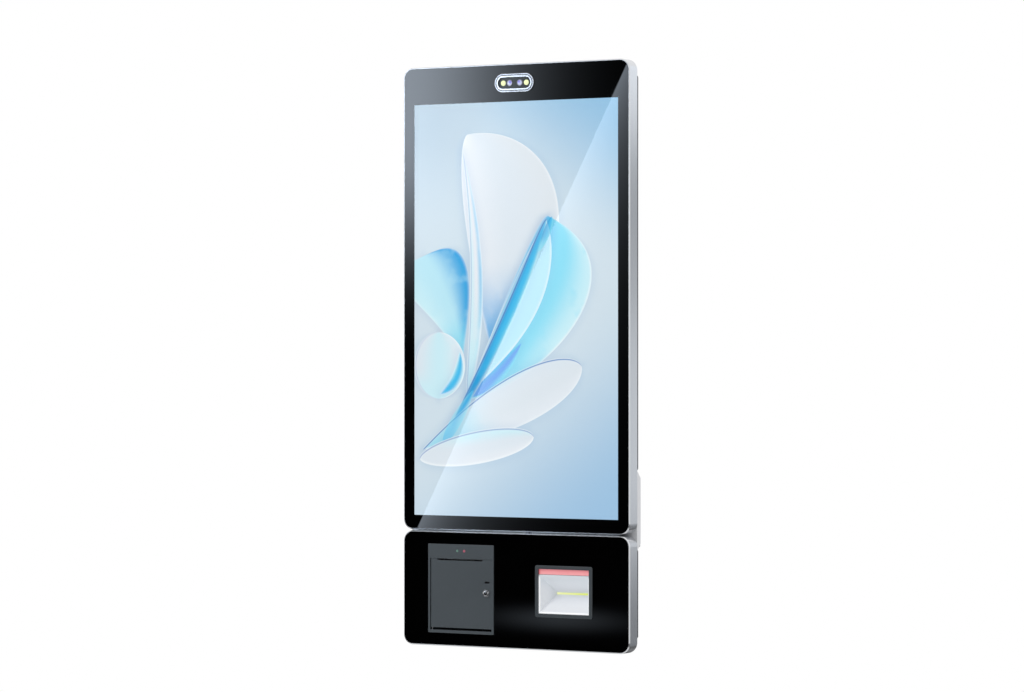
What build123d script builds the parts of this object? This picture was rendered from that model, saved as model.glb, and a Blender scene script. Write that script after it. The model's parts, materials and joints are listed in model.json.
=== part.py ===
"""Wall-mounted self-service kiosk: a portrait 32 inch touch display over a panel with a
receipt printer and a code scanner.

The origin is the centre of the four wall bolts, on the wall. The front faces -Y, +X is to the
right as a person in front sees it, and +Z is up. A depth in this file is the distance from the
wall, so a point at depth d has y = -d.
"""

import os
from math import acos, asin, cos, pi, radians, sin, sqrt, tan

from build123d import *

os.makedirs("parts", exist_ok=True)

# Depths from the wall.
FRONT = 84.0
FRAME_BACK = FRONT - 28.0
GLASS_THICK = 4.0
GLASS_BACK = FRONT - GLASS_THICK
TAPE_BACK = GLASS_BACK - 1.0
LEDGE_BACK = TAPE_BACK - 3.0
COVER_BACK = 13.0
SHEET = 1.5
FLANGE_THICK = 1.2
FLANGE_FRONT = FRAME_BACK + FLANGE_THICK
INNER_BACK = COVER_BACK + SHEET

# Front outlines. The rim is the metal seen round each pane, from the glass to the outer side.
GLASS_WIDTH = 432.0
UPPER_GLASS_HEIGHT = 782.4
LOWER_GLASS_HEIGHT = 190.4
GLASS_RADIUS = 16.0
RIM = 2.4
GLASS_GAP = 0.2
FRONT_CHAMFER = 1.8
REAR_CHAMFER = 1.0
LEDGE_WIDTH = 9.7
FRAME_SPACING = 1.4
UPPER_CENTRE = -37.9
UPPER_HEIGHT = UPPER_GLASS_HEIGHT + 2 * RIM
LOWER_HEIGHT = LOWER_GLASS_HEIGHT + 2 * RIM
FRAME_WIDTH = GLASS_WIDTH + 2 * RIM
LOWER_CENTRE = UPPER_CENTRE - (UPPER_HEIGHT + LOWER_HEIGHT) / 2 - FRAME_SPACING

# Screw posts on the frames, beside the glass pocket's inner edge.
POST_X = 211.4
POST_RADIUS = 4.0
SCREW_RADIUS = 1.6
SCREW_HOLE = 1.65
SCREW_HEAD = 3.4
SCREW_HEAD_THICK = 2.2
SCREW_SOCKET = 1.3
UPPER_POSTS = [(side * POST_X, z) for side in (-1, 1) for z in (330, 200, 60, -90, -240)]
LOWER_POSTS = [(side * POST_X, z) for side in (-1, 1) for z in (-500, -600)]
NECK_POSTS = [(side * POST_X, z) for side in (-1, 1) for z in (-350, -410)]
NECK_LOWER_POSTS = [(side * POST_X, -450) for side in (-1, 1)]

# Rear boxes and the neck that joins the two frames.
BOX_WIDTH = FRAME_WIDTH - 42.0
UPPER_BOX_TOP = 333.0
UPPER_BOX_BOTTOM = -327.0
LOWER_BOX_TOP = -458.5
LOWER_BOX_BOTTOM = -607.5
BOX_RADIUS = 4.0
NECK_BACK = 42.0
NECK_TOP = -327.5
NECK_BOTTOM = -457.5
NECK_WIDTH = 434.8
NECK_SLOPE = 12.0
DUCT_WIDTH = 380.0
DUCT_TOP = -342.0
DUCT_BOTTOM = -445.0
DUCT_BACK = 45.0
CABLE_X = 10.0
CABLE_HOLE_WIDTH = 40.0

# Display module, a 32 inch 16:9 panel on its side.
SCREEN_WIDTH = 392.85
SCREEN_HEIGHT = 698.4
SCREEN_CENTRE = -57.4
LCD_WIDTH = 411.0
LCD_HEIGHT = 716.0
LCD_BACK = 64.0
LCD_LIP = 1.5
LCD_SHEET = 1.2
LCD_OPENING_MARGIN = 9.0
LCD_PANEL_THICK = 2.4
LIGHT_GUIDE_THICK = 4.0
LCD_BRACKET_HEIGHT = 24.0

# Camera module.
CAMERA_Z = 323.0
CAMERA_WIDTH = 75.5
CAMERA_HEIGHT = 31.4
CAMERA_PROUD = 2.0
CAMERA_OPENING = (63.0, 19.5)
CAMERA_CUT = (70.0, 26.0)
LENS_X = 9.65
LENS_RADIUS = 5.7
FLASH_X = 22.2
FLASH_RADIUS = 4.75

# Fan on the upper cover.
FAN_X = -90.0
FAN_Z = 235.0
FAN_SIZE = 80.0
FAN_DEPTH = 15.0
FAN_BORE = 37.5
FAN_HUB = 18.0
FAN_TIP = 36.3
FAN_BLADES = 7
FAN_PITCH = 35.0

# Circuit boards, on spacers behind the display.
BOARD_BACK = 22.0
BOARD_FRONT = BOARD_BACK + 1.6
SPACER_RADIUS = 3.0

# Wall bracket.
PLATE_THICK = 2.0
WALL_BOLT_X = 240.0
WALL_BOLT_Z = 150.0
WALL_BOLT_HOLE = 4.5
WALL_PLATE_WIDTH = 290.0
HANG_BOLT_SPACING = 200.0
HANG_PLATE_WIDTH = 260.0
HOOK_TOP = 112.0

# Receipt printer.
BEZEL_PROUD = 2.0
BEZEL_FRONT = FRONT + BEZEL_PROUD
PRINTER_X = -104.0
PRINTER_Z = -530.3
PRINTER_WIDTH = 128.2
PRINTER_HEIGHT = 150.8
COLLAR_WIDTH = 123.8
COLLAR_TOP = -461.0
COLLAR_BOTTOM = -602.3
COLLAR_BACK = 76.0
DOOR_LEFT = -163.6
DOOR_RIGHT = -44.0
DOOR_TOP = -479.9
DOOR_BOTTOM = -596.6
DOOR_HOLE = (-164.2, -43.6, -600.7, -479.4)
DOOR_FRONT = BEZEL_FRONT - 0.6
DOOR_THICK = 3.0
HINGE_RADIUS = 2.4
HINGE_X = DOOR_LEFT + HINGE_RADIUS
HINGE_DEPTH = DOOR_FRONT - HINGE_RADIUS
HINGE_PIN = 1.2
RUNNING_GAP = 0.05
SLOT_X = -105.8
SLOT_WIDTH = 88.4
SLOT_BOTTOM = -482.4
LOCK_X = -54.0
LOCK_Z = -536.0
LOCK_HEAD = 6.0
LOCK_BODY = 4.8
LOCK_CORE = 3.4
CAM_BACK = 71.5
CAM_LENGTH = 17.0
BUTTON_X = -52.5
BUTTON_Z = -517.9
INDICATOR_Z = -466.0
READY_X = -110.5
ERROR_X = -97.0
INDICATOR_RADIUS = 2.25
TUB_BACK = 26.0
TUB_WALL = 1.2

# Printer mechanism.
ROLL_RADIUS = 24.0
ROLL_WIDTH = 80.0
ROLL_DEPTH = 52.0
ROLL_Z = -566.0
SPINDLE_RADIUS = 6.2
PLATEN_RADIUS = 6.5
PLATEN_DEPTH = 66.0
PLATEN_Z = -488.0
PLATEN_SHAFT = 2.5
CHEEK_LEFT = -152.0
CHEEK_RIGHT = -59.8
CHEEK_THICK = 1.2
PAPER_GAP = 0.3
PAPER_THICK = 0.2
GEAR_MODULE = 0.8
PLATEN_TEETH = 24
IDLER_TEETH = 20
PINION_TEETH = 18
GEAR_LEFT = -158.0
GEAR_WIDTH = 4.0
IDLER_ANGLE = 15.0
MOTOR_ANGLE = -50.0
IDLER_STUD = 2.0
MOTOR_RADIUS = 10.0
MOTOR_SHAFT = 1.5
CUTTER_BACK = 76.6
CUTTER_THICK = 1.0
CUTTER_BOTTOM = -480.4
CUTTER_TOP = -466.0

# Code scanner.
SCANNER_X = 94.3
SCANNER_Z = -529.1
SCANNER_WIDTH = 108.7
SCANNER_HEIGHT = 86.7
SCANNER_BORDER = 6.0
SCANNER_RADIUS = 3.5
INSERT_FRONT = BEZEL_FRONT - 3.3
LIGHT_BAR_HEIGHT = 9.0
HOPPER_LIP = 1.8
HOPPER_WALL = 1.5
HOPPER_BACK = 50.0
SCAN_SLIT = (64.0, 5.0)
SCAN_SLIT_Z = -534.0

# Sockets under the lower box.
INLET_X = 150.0
SOCKET_DEPTH = 35.0
ROCKER_Z = -607.0
ROCKER_PIN = 0.9
PORTS_X = 0.0


def wall_plane(depth):
    """The plane at a depth from the wall, seen from the front: x is +X, y is +Z."""
    return Plane.XZ.offset(depth)


def slab(x, z, width, height, back, front, radius=0.0, mode=Mode.ADD):
    """A box or rounded box parallel to the wall, between two depths."""
    with BuildSketch(wall_plane(back)) as outline:
        with Locations((x, z)):
            if radius > 0:
                RectangleRounded(width, height, radius)
            else:
                Rectangle(width, height)
    extrude(outline.sketch, amount=front - back, mode=mode)


def block(left, right, bottom, top, back, front, mode=Mode.ADD):
    """A box given by its sides."""
    slab((left + right) / 2, (bottom + top) / 2, right - left, top - bottom, back, front, mode=mode)


def disc(points, radius, back, front, mode=Mode.ADD):
    """Round bars or holes square to the wall, one at each (x, z)."""
    with BuildSketch(wall_plane(back)) as outline:
        with Locations(*points):
            Circle(radius)
    extrude(outline.sketch, amount=front - back, mode=mode)


def bar(depth, z, radius, left, right, mode=Mode.ADD):
    """A round bar or hole along X."""
    with BuildSketch(Plane.YZ.offset(left)) as outline:
        with Locations((-depth, z)):
            Circle(radius)
    extrude(outline.sketch, amount=right - left, mode=mode)


def post(x, depth, radius, bottom, top, mode=Mode.ADD):
    """A round bar or hole along Z."""
    with BuildSketch(Plane.XY.offset(bottom)) as outline:
        with Locations((x, -depth)):
            Circle(radius)
    extrude(outline.sketch, amount=top - bottom, mode=mode)


def stadium(z, width, height, back, front, mode=Mode.ADD):
    """A bar with round ends, on the vertical centre line."""
    with BuildSketch(wall_plane(back)) as outline:
        with Locations((0, z)):
            SlotOverall(width, height)
    extrude(outline.sketch, amount=front - back, mode=mode)


def save(piece, name):
    """Labels a finished piece and writes its STEP file."""
    piece.part.label = name
    export_step(piece.part, f"parts/{name}.step")


def pane_frame(centre, glass_height, posts):
    """The aluminium ring round one pane, with a ledge for the glass and screw posts."""
    height = glass_height + 2 * RIM
    pocket_width = GLASS_WIDTH + 2 * GLASS_GAP
    pocket_height = glass_height + 2 * GLASS_GAP
    pocket_radius = GLASS_RADIUS + GLASS_GAP
    with BuildPart() as ring:
        slab(0, centre, FRAME_WIDTH, height, FRAME_BACK, FRONT, GLASS_RADIUS + RIM)
        chamfer(ring.faces().sort_by(Axis.Y)[0].edges(), FRONT_CHAMFER)
        chamfer(ring.faces().sort_by(Axis.Y)[-1].edges(), REAR_CHAMFER)
        slab(0, centre, pocket_width, pocket_height, TAPE_BACK, FRONT, pocket_radius, Mode.SUBTRACT)
        slab(
            0,
            centre,
            pocket_width - 2 * LEDGE_WIDTH,
            pocket_height - 2 * LEDGE_WIDTH,
            LEDGE_BACK,
            TAPE_BACK,
            pocket_radius - LEDGE_WIDTH,
            Mode.SUBTRACT,
        )
        slab(0, centre, pocket_width, pocket_height, FRAME_BACK, LEDGE_BACK, pocket_radius, Mode.SUBTRACT)
        disc(posts, POST_RADIUS, FLANGE_FRONT, LEDGE_BACK)
        disc(posts, SCREW_HOLE, FLANGE_FRONT, LEDGE_BACK - 6, Mode.SUBTRACT)
    return ring


def cover(centre, glass_height, box_bottom, box_top):
    """A folded sheet cover: a flange let into the back of a frame, and a box behind it."""
    flange_width = GLASS_WIDTH + 2 * GLASS_GAP - 0.6
    flange_height = glass_height + 2 * GLASS_GAP - 0.6
    box_centre = (box_bottom + box_top) / 2
    box_height = box_top - box_bottom
    with BuildPart() as shell:
        slab(0, centre, flange_width, flange_height, FRAME_BACK, FLANGE_FRONT, GLASS_RADIUS)
        slab(0, box_centre, BOX_WIDTH, box_height, COVER_BACK, FLANGE_FRONT, BOX_RADIUS)
        slab(
            0,
            box_centre,
            BOX_WIDTH - 2 * SHEET,
            box_height - 2 * SHEET,
            INNER_BACK,
            FLANGE_FRONT,
            BOX_RADIUS - SHEET,
            Mode.SUBTRACT,
        )
        chamfer(shell.faces().sort_by(Axis.Y)[-1].edges(), 0.6)
    return shell


def gear(teeth, centre, phase, bore):
    """A spur gear with involute teeth, at (depth, z), with one tooth pointing along phase."""
    pitch = GEAR_MODULE * teeth / 2
    base = pitch * cos(radians(20))
    tip = pitch + GEAR_MODULE
    root = pitch - 1.25 * GEAR_MODULE
    start = max(base, root)
    backlash = 0.03 / pitch
    half = pi / (2 * teeth) + tan(radians(20)) - radians(20) - backlash
    flank = []
    for step in range(5):
        radius = start + (tip - start) * step / 4
        pressure = acos(base / radius)
        flank.append((radius, half - (tan(pressure) - pressure)))
    flank.insert(0, (root - 0.01, flank[0][1]))
    points = []
    for tooth in range(teeth):
        middle = phase + 2 * pi * tooth / teeth
        for radius, angle in flank:
            points.append((radius * cos(middle - angle), radius * sin(middle - angle)))
        for radius, angle in reversed(flank):
            points.append((radius * cos(middle + angle), radius * sin(middle + angle)))
    shifted = [(x - centre[0], y + centre[1]) for x, y in points]
    with BuildPart() as wheel:
        with BuildSketch(Plane.YZ.offset(GEAR_LEFT)) as outline:
            with BuildLine():
                Polyline(*shifted, close=True)
            make_face()
        extrude(outline.sketch, amount=GEAR_WIDTH)
        bar(centre[0], centre[1], bore, GEAR_LEFT, GEAR_LEFT + GEAR_WIDTH, Mode.SUBTRACT)
    return wheel


# ---------------------------------------------------------------- frames and panes
upper_frame = pane_frame(UPPER_CENTRE, UPPER_GLASS_HEIGHT, UPPER_POSTS + NECK_POSTS)
save(upper_frame, "upper_frame")

lower_frame = pane_frame(LOWER_CENTRE, LOWER_GLASS_HEIGHT, LOWER_POSTS + NECK_LOWER_POSTS)
save(lower_frame, "lower_frame")

with BuildPart() as touch_glass:
    slab(0, UPPER_CENTRE, GLASS_WIDTH, UPPER_GLASS_HEIGHT, GLASS_BACK, FRONT, GLASS_RADIUS)
    chamfer(touch_glass.faces().sort_by(Axis.Y)[0].edges(), 0.3)
    stadium(CAMERA_Z, *CAMERA_CUT, GLASS_BACK, FRONT, Mode.SUBTRACT)
save(touch_glass, "touch_glass")

with BuildPart() as lower_panel:
    slab(0, LOWER_CENTRE, GLASS_WIDTH, LOWER_GLASS_HEIGHT, GLASS_BACK, FRONT, GLASS_RADIUS)
    chamfer(lower_panel.faces().sort_by(Axis.Y)[0].edges(), 0.3)
    block(
        PRINTER_X - COLLAR_WIDTH / 2 - 0.5,
        PRINTER_X + COLLAR_WIDTH / 2 + 0.5,
        COLLAR_BOTTOM - 0.5,
        COLLAR_TOP + 0.5,
        GLASS_BACK,
        FRONT,
        Mode.SUBTRACT,
    )
    slab(
        SCANNER_X,
        SCANNER_Z,
        SCANNER_WIDTH - 7.6,
        SCANNER_HEIGHT - 7.6,
        GLASS_BACK,
        FRONT,
        2,
        Mode.SUBTRACT,
    )
save(lower_panel, "lower_panel")

with BuildPart() as glass_tapes:
    for centre, height in ((UPPER_CENTRE, UPPER_GLASS_HEIGHT), (LOWER_CENTRE, LOWER_GLASS_HEIGHT)):
        slab(0, centre, GLASS_WIDTH - 1, height - 1, TAPE_BACK, GLASS_BACK, GLASS_RADIUS - 0.5)
        slab(0, centre, GLASS_WIDTH - 17, height - 17, TAPE_BACK, GLASS_BACK, GLASS_RADIUS - 8, Mode.SUBTRACT)
save(glass_tapes, "glass_tapes")

# ---------------------------------------------------------------- display module
with BuildPart() as lcd_chassis:
    slab(0, SCREEN_CENTRE, LCD_WIDTH, LCD_HEIGHT, LCD_BACK, TAPE_BACK)
    slab(
        0,
        SCREEN_CENTRE,
        LCD_WIDTH - 2 * LCD_SHEET,
        LCD_HEIGHT - 2 * LCD_SHEET,
        LCD_BACK + LCD_SHEET,
        TAPE_BACK - LCD_LIP,
        mode=Mode.SUBTRACT,
    )
    slab(
        0,
        SCREEN_CENTRE,
        SCREEN_WIDTH + LCD_OPENING_MARGIN,
        SCREEN_HEIGHT + LCD_OPENING_MARGIN,
        TAPE_BACK - LCD_LIP,
        TAPE_BACK,
        mode=Mode.SUBTRACT,
    )
save(lcd_chassis, "lcd_chassis")

with BuildPart() as lcd_screen:
    slab(
        0,
        SCREEN_CENTRE,
        LCD_WIDTH - 2 * LCD_SHEET - 1,
        LCD_HEIGHT - 2 * LCD_SHEET - 1,
        TAPE_BACK - LCD_LIP - LCD_PANEL_THICK,
        TAPE_BACK - LCD_LIP,
    )
save(lcd_screen, "lcd_screen")

with BuildPart() as backlight:
    guide_back = LCD_BACK + LCD_SHEET
    slab(0, SCREEN_CENTRE, SCREEN_WIDTH, SCREEN_HEIGHT, guide_back, guide_back + LIGHT_GUIDE_THICK)
save(backlight, "backlight")

with BuildPart() as lcd_brackets:
    for side in (-1, 1):
        for z in (130, -15, -165, -300):
            web = side * (LCD_WIDTH / 2 + 2.0)
            slab(web, z, SHEET, LCD_BRACKET_HEIGHT, LCD_BACK - SHEET, LEDGE_BACK)
            slab(web + side * 4, z, 7, LCD_BRACKET_HEIGHT, LEDGE_BACK - SHEET, LEDGE_BACK)
            slab(web - side * 10, z, 20, LCD_BRACKET_HEIGHT, LCD_BACK - SHEET, LCD_BACK)
save(lcd_brackets, "lcd_brackets")

# ---------------------------------------------------------------- camera module
with BuildPart() as camera_bezel:
    stadium(CAMERA_Z, CAMERA_WIDTH, CAMERA_HEIGHT, FRONT, FRONT + CAMERA_PROUD)
    fillet(camera_bezel.faces().sort_by(Axis.Y)[0].edges(), 0.8)
    stadium(
        CAMERA_Z, CAMERA_WIDTH - 3.6, CAMERA_HEIGHT - 3.6, FRONT + 1, FRONT + CAMERA_PROUD, Mode.SUBTRACT
    )
    stadium(CAMERA_Z, CAMERA_WIDTH - 7.6, CAMERA_HEIGHT - 7.6, FRONT + 1, FRONT + CAMERA_PROUD)
    stadium(CAMERA_Z, CAMERA_CUT[0] - 0.4, CAMERA_CUT[1] - 0.4, GLASS_BACK - 1.5, FRONT)
    stadium(CAMERA_Z, *CAMERA_OPENING, GLASS_BACK - 1.5, FRONT + CAMERA_PROUD, Mode.SUBTRACT)
save(camera_bezel, "camera_bezel")

with BuildPart() as camera_window:
    stadium(CAMERA_Z, CAMERA_OPENING[0] - 0.3, CAMERA_OPENING[1] - 0.3, FRONT - 2, FRONT - 0.6)
    disc([(-LENS_X, CAMERA_Z), (LENS_X, CAMERA_Z)], LENS_RADIUS + 0.05, FRONT - 2, FRONT, Mode.SUBTRACT)
    disc([(-FLASH_X, CAMERA_Z), (FLASH_X, CAMERA_Z)], FLASH_RADIUS + 0.05, FRONT - 2, FRONT, Mode.SUBTRACT)
save(camera_window, "camera_window")

with BuildPart() as camera_lenses:
    disc([(-LENS_X, CAMERA_Z), (LENS_X, CAMERA_Z)], LENS_RADIUS, GLASS_BACK - 6.9, FRONT + 0.6)
    fillet(camera_lenses.edges().filter_by(GeomType.CIRCLE).group_by(Axis.Y)[0], 1.0)
save(camera_lenses, "camera_lenses")

with BuildPart() as flash_leds:
    disc([(-FLASH_X, CAMERA_Z), (FLASH_X, CAMERA_Z)], FLASH_RADIUS, GLASS_BACK - 6.9, FRONT + 0.4)
    fillet(flash_leds.edges().filter_by(GeomType.CIRCLE).group_by(Axis.Y)[0], 1.0)
save(flash_leds, "flash_leds")

with BuildPart() as camera_housing:
    slab(0, CAMERA_Z, 86, 36, GLASS_BACK - 10, GLASS_BACK, 4)
    slab(0, CAMERA_Z, 82, 32, GLASS_BACK - 8.5, GLASS_BACK, 2, Mode.SUBTRACT)
save(camera_housing, "camera_housing")

with BuildPart() as camera_board:
    slab(0, CAMERA_Z, 80, 30, GLASS_BACK - 8.5, GLASS_BACK - 6.9, 1)
save(camera_board, "camera_board")

# ---------------------------------------------------------------- upper cover and electronics
with BuildPart() as upper_rear_cover:
    add(cover(UPPER_CENTRE, UPPER_GLASS_HEIGHT, UPPER_BOX_BOTTOM, UPPER_BOX_TOP).part)
    disc(UPPER_POSTS + NECK_POSTS, SCREW_HOLE + 0.2, FRAME_BACK, FLANGE_FRONT, Mode.SUBTRACT)
    slab(CABLE_X, -348, CABLE_HOLE_WIDTH, 28, FRAME_BACK, FLANGE_FRONT, 3, Mode.SUBTRACT)
    for row in range(-3, 4):
        chord = 2 * sqrt(34**2 - (9 * row) ** 2)
        slab(FAN_X, FAN_Z + 9 * row, chord, 4.5, COVER_BACK, INNER_BACK, 2.2, Mode.SUBTRACT)
    for column in range(12):
        slab(30 + 10 * column, 262, 4, 44, COVER_BACK, INNER_BACK, 1.9, Mode.SUBTRACT)
        slab(-55 + 10 * column, -190, 4, 44, COVER_BACK, INNER_BACK, 1.9, Mode.SUBTRACT)
    for side in (-1, 1):
        for row in range(4):
            slab(side * 120, -278 - 8 * row, 62, 3.4, COVER_BACK, INNER_BACK, 1.6, Mode.SUBTRACT)
    with BuildSketch(wall_plane(COVER_BACK)) as bolt_holes:
        with GridLocations(HANG_BOLT_SPACING, HANG_BOLT_SPACING, 2, 2):
            Circle(3.2)
    extrude(bolt_holes.sketch, amount=SHEET, mode=Mode.SUBTRACT)
save(upper_rear_cover, "upper_rear_cover")

with BuildPart() as fan_housing:
    slab(FAN_X, FAN_Z, FAN_SIZE, FAN_SIZE, INNER_BACK, INNER_BACK + FAN_DEPTH, 4)
    disc([(FAN_X, FAN_Z)], FAN_BORE, INNER_BACK, INNER_BACK + FAN_DEPTH, Mode.SUBTRACT)
    disc([(FAN_X, FAN_Z)], FAN_HUB, INNER_BACK + FAN_DEPTH - 2, INNER_BACK + FAN_DEPTH)
    slab(FAN_X, FAN_Z, 2 * FAN_BORE + 1, 4, INNER_BACK + FAN_DEPTH - 2, INNER_BACK + FAN_DEPTH)
    slab(FAN_X, FAN_Z, 4, 2 * FAN_BORE + 1, INNER_BACK + FAN_DEPTH - 2, INNER_BACK + FAN_DEPTH)
    disc([(FAN_X, FAN_Z)], 1.5, INNER_BACK + 4, INNER_BACK + FAN_DEPTH - 2)
save(fan_housing, "fan_housing")

with BuildPart() as fan_rotor:
    disc([(FAN_X, FAN_Z)], FAN_HUB, INNER_BACK + 1.5, INNER_BACK + FAN_DEPTH - 2.6)
    for blade in range(FAN_BLADES):
        angle = 2 * pi * blade / FAN_BLADES
        outward = Vector(cos(angle), 0, sin(angle))
        around = Vector(-sin(angle), 0, cos(angle))
        normal = around * cos(radians(FAN_PITCH)) + Vector(0, sin(radians(FAN_PITCH)), 0)
        middle = Vector(FAN_X, -(INNER_BACK + 6.8), FAN_Z) + outward * (FAN_HUB + FAN_TIP - 1) / 2
        with BuildSketch(Plane(middle, x_dir=outward, z_dir=normal)) as plate:
            Rectangle(FAN_TIP - FAN_HUB + 1, 12)
        extrude(plate.sketch, amount=0.7, both=True)
    disc([(FAN_X, FAN_Z)], 1.5 + RUNNING_GAP, INNER_BACK + 3.5, INNER_BACK + FAN_DEPTH, Mode.SUBTRACT)
save(fan_rotor, "fan_rotor")

with BuildPart() as mainboard:
    slab(90, 60, 170, 170, BOARD_BACK, BOARD_FRONT)
    for x, z in ((10, -20), (170, -20), (10, 140), (170, 140)):
        disc([(x, z)], SPACER_RADIUS, INNER_BACK, BOARD_BACK)
    slab(80, 70, 60, 60, BOARD_FRONT, 25)
    for fin in range(9):
        slab(54 + 6.5 * fin, 70, 2, 60, 25, 42)
    slab(150, 62, 8, 132, BOARD_FRONT, 40)
    slab(10, 20, 9, 60, BOARD_FRONT, 35)
save(mainboard, "mainboard")

with BuildPart() as power_supply:
    slab(-65, -60, 110, 200, 16.5, 47, 1.5)
    slab(-65, -60, 107, 197, 18, 45.5, mode=Mode.SUBTRACT)
    slab(-65, -160, 90, 4, 28, 40, mode=Mode.SUBTRACT)
    for column in range(7):
        slab(-104 + 13 * column, -20, 6, 60, 45.5, 47, 2, Mode.SUBTRACT)
    for x, z in ((-105, 30), (-25, 30), (-105, -150), (-25, -150)):
        disc([(x, z)], 4, INNER_BACK, 16.5)
save(power_supply, "power_supply")

with BuildPart() as display_driver:
    slab(110, -110, 130, 70, BOARD_BACK, BOARD_FRONT)
    for x, z in ((50, -140), (170, -140), (50, -80), (170, -80)):
        disc([(x, z)], SPACER_RADIUS, INNER_BACK, BOARD_BACK)
    slab(100, -105, 22, 22, BOARD_FRONT, 26)
    slab(150, -110, 10, 44, BOARD_FRONT, 31)
    slab(66, -110, 8, 30, BOARD_FRONT, 30)
save(display_driver, "display_driver")

with BuildPart() as speakers:
    for side in (-1, 1):
        slab(side * 120, -290, 96, 48, INNER_BACK, INNER_BACK + 26, 5)
        disc([(side * 120, -290)], 18, INNER_BACK, INNER_BACK + 6, Mode.SUBTRACT)
        disc([(side * 120, -290)], 7, INNER_BACK + 2, INNER_BACK + 6)
save(speakers, "speakers")

# ---------------------------------------------------------------- neck
with BuildPart() as neck_bracket:
    with BuildSketch(Plane.YZ.offset(-NECK_WIDTH / 2)) as neck_section:
        with BuildLine():
            Polyline(
                (-FRAME_BACK, NECK_TOP),
                (-FRAME_BACK, NECK_BOTTOM),
                (-NECK_BACK - NECK_SLOPE, NECK_BOTTOM),
                (-NECK_BACK, NECK_BOTTOM + NECK_SLOPE),
                (-NECK_BACK, NECK_TOP - NECK_SLOPE),
                (-NECK_BACK - NECK_SLOPE, NECK_TOP),
                close=True,
            )
        make_face()
    extrude(neck_section.sketch, amount=NECK_WIDTH)
    chamfer(neck_bracket.edges().filter_by(Axis.Z).sort_by(Axis.Y)[-2:], 1.2)
    block(
        -DUCT_WIDTH / 2, DUCT_WIDTH / 2, DUCT_BOTTOM, DUCT_TOP, DUCT_BACK, FRAME_BACK, Mode.SUBTRACT
    )
    disc(NECK_POSTS + NECK_LOWER_POSTS, SCREW_HOLE + 0.2, NECK_BACK, FRAME_BACK, Mode.SUBTRACT)
save(neck_bracket, "neck_bracket")

with BuildPart() as case_screws:
    neck_screws = (NECK_POSTS + NECK_LOWER_POSTS, NECK_BACK)
    cover_screws = (UPPER_POSTS + LOWER_POSTS, FRAME_BACK)
    for posts, seat in (neck_screws, cover_screws):
        head = seat - SCREW_HEAD_THICK
        disc(posts, SCREW_HEAD, head, seat)
        disc(posts, SCREW_SOCKET, head, seat - 1, Mode.SUBTRACT)
        disc(posts, SCREW_RADIUS, seat, LEDGE_BACK - 8)
save(case_screws, "case_screws")

with BuildPart() as main_harness:
    with BuildSketch(Plane.YZ.offset(CABLE_X - 6)) as cable_band:
        with BuildLine() as cable_route:
            FilletPolyline(
                (-36.5, 5),
                (-50, -20),
                (-59, -70),
                (-59, -342),
                (-49.5, -374),
                (-49.5, -424),
                (-62, -452),
                (-62, -540),
                (-45, -572),
                (-38, -583),
                radius=12,
            )
        trace(cable_route.line, 2.4)
    extrude(cable_band.sketch, amount=12)
save(main_harness, "main_harness")

# ---------------------------------------------------------------- lower cover and sockets
with BuildPart() as lower_rear_cover:
    add(cover(LOWER_CENTRE, LOWER_GLASS_HEIGHT, LOWER_BOX_BOTTOM, LOWER_BOX_TOP).part)
    disc(LOWER_POSTS + NECK_LOWER_POSTS, SCREW_HOLE + 0.2, FRAME_BACK, FLANGE_FRONT, Mode.SUBTRACT)
    slab(CABLE_X, -443, CABLE_HOLE_WIDTH, 20, FRAME_BACK, FLANGE_FRONT, mode=Mode.SUBTRACT)
    for column in range(12):
        slab(-55 + 10 * column, -530, 4, 44, COVER_BACK, INNER_BACK, 1.9, Mode.SUBTRACT)
    block(INLET_X - 24, INLET_X + 24, LOWER_BOX_BOTTOM, LOWER_BOX_BOTTOM + 5, 21, 49, Mode.SUBTRACT)
    block(PORTS_X - 20, PORTS_X + 20, LOWER_BOX_BOTTOM, LOWER_BOX_BOTTOM + 5, 26, 44, Mode.SUBTRACT)
save(lower_rear_cover, "lower_rear_cover")

with BuildPart() as power_inlet:
    block(INLET_X - 23.8, INLET_X + 23.8, LOWER_BOX_BOTTOM, -578, 21.2, 48.8)
    block(INLET_X - 27, INLET_X + 27, LOWER_BOX_BOTTOM - 2.5, LOWER_BOX_BOTTOM, 18, 52)
    block(INLET_X - 21, INLET_X + 5, LOWER_BOX_BOTTOM - 3, -590, 26, 44, Mode.SUBTRACT)
    for x, depth in ((-15, 33), (-8, 38), (-1, 33)):
        block(INLET_X + x - 1, INLET_X + x + 1, -606, -590, depth - 2, depth + 2)
    block(INLET_X + 9, INLET_X + 21, LOWER_BOX_BOTTOM - 3, -596, 25, 45, Mode.SUBTRACT)
    bar(SOCKET_DEPTH, ROCKER_Z, ROCKER_PIN, INLET_X + 7, INLET_X + 23)
save(power_inlet, "power_inlet")

with BuildPart() as power_rocker:
    with BuildSketch(Plane.YZ.offset(INLET_X + 9.5)) as rocker_section:
        with BuildLine():
            Polyline((-43.6, -611.2), (-35, -608.9), (-26.4, -607.9), (-29, -602), (-41, -602), close=True)
        make_face()
    extrude(rocker_section.sketch, amount=11)
    bar(SOCKET_DEPTH, ROCKER_Z, ROCKER_PIN + RUNNING_GAP, INLET_X + 9, INLET_X + 21, Mode.SUBTRACT)
save(power_rocker, "power_rocker")

with BuildPart() as port_block:
    block(PORTS_X - 19.8, PORTS_X + 19.8, LOWER_BOX_BOTTOM - 1, -584, 26.2, 43.8)
    block(PORTS_X - 17, PORTS_X - 4, LOWER_BOX_BOTTOM - 1, -592, 30, 40, Mode.SUBTRACT)
    block(PORTS_X + 2, PORTS_X + 16, LOWER_BOX_BOTTOM - 1, -594, 32, 38, Mode.SUBTRACT)
    block(PORTS_X + 3, PORTS_X + 15, -606, -594, 35.6, 37)
save(port_block, "port_block")

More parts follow.
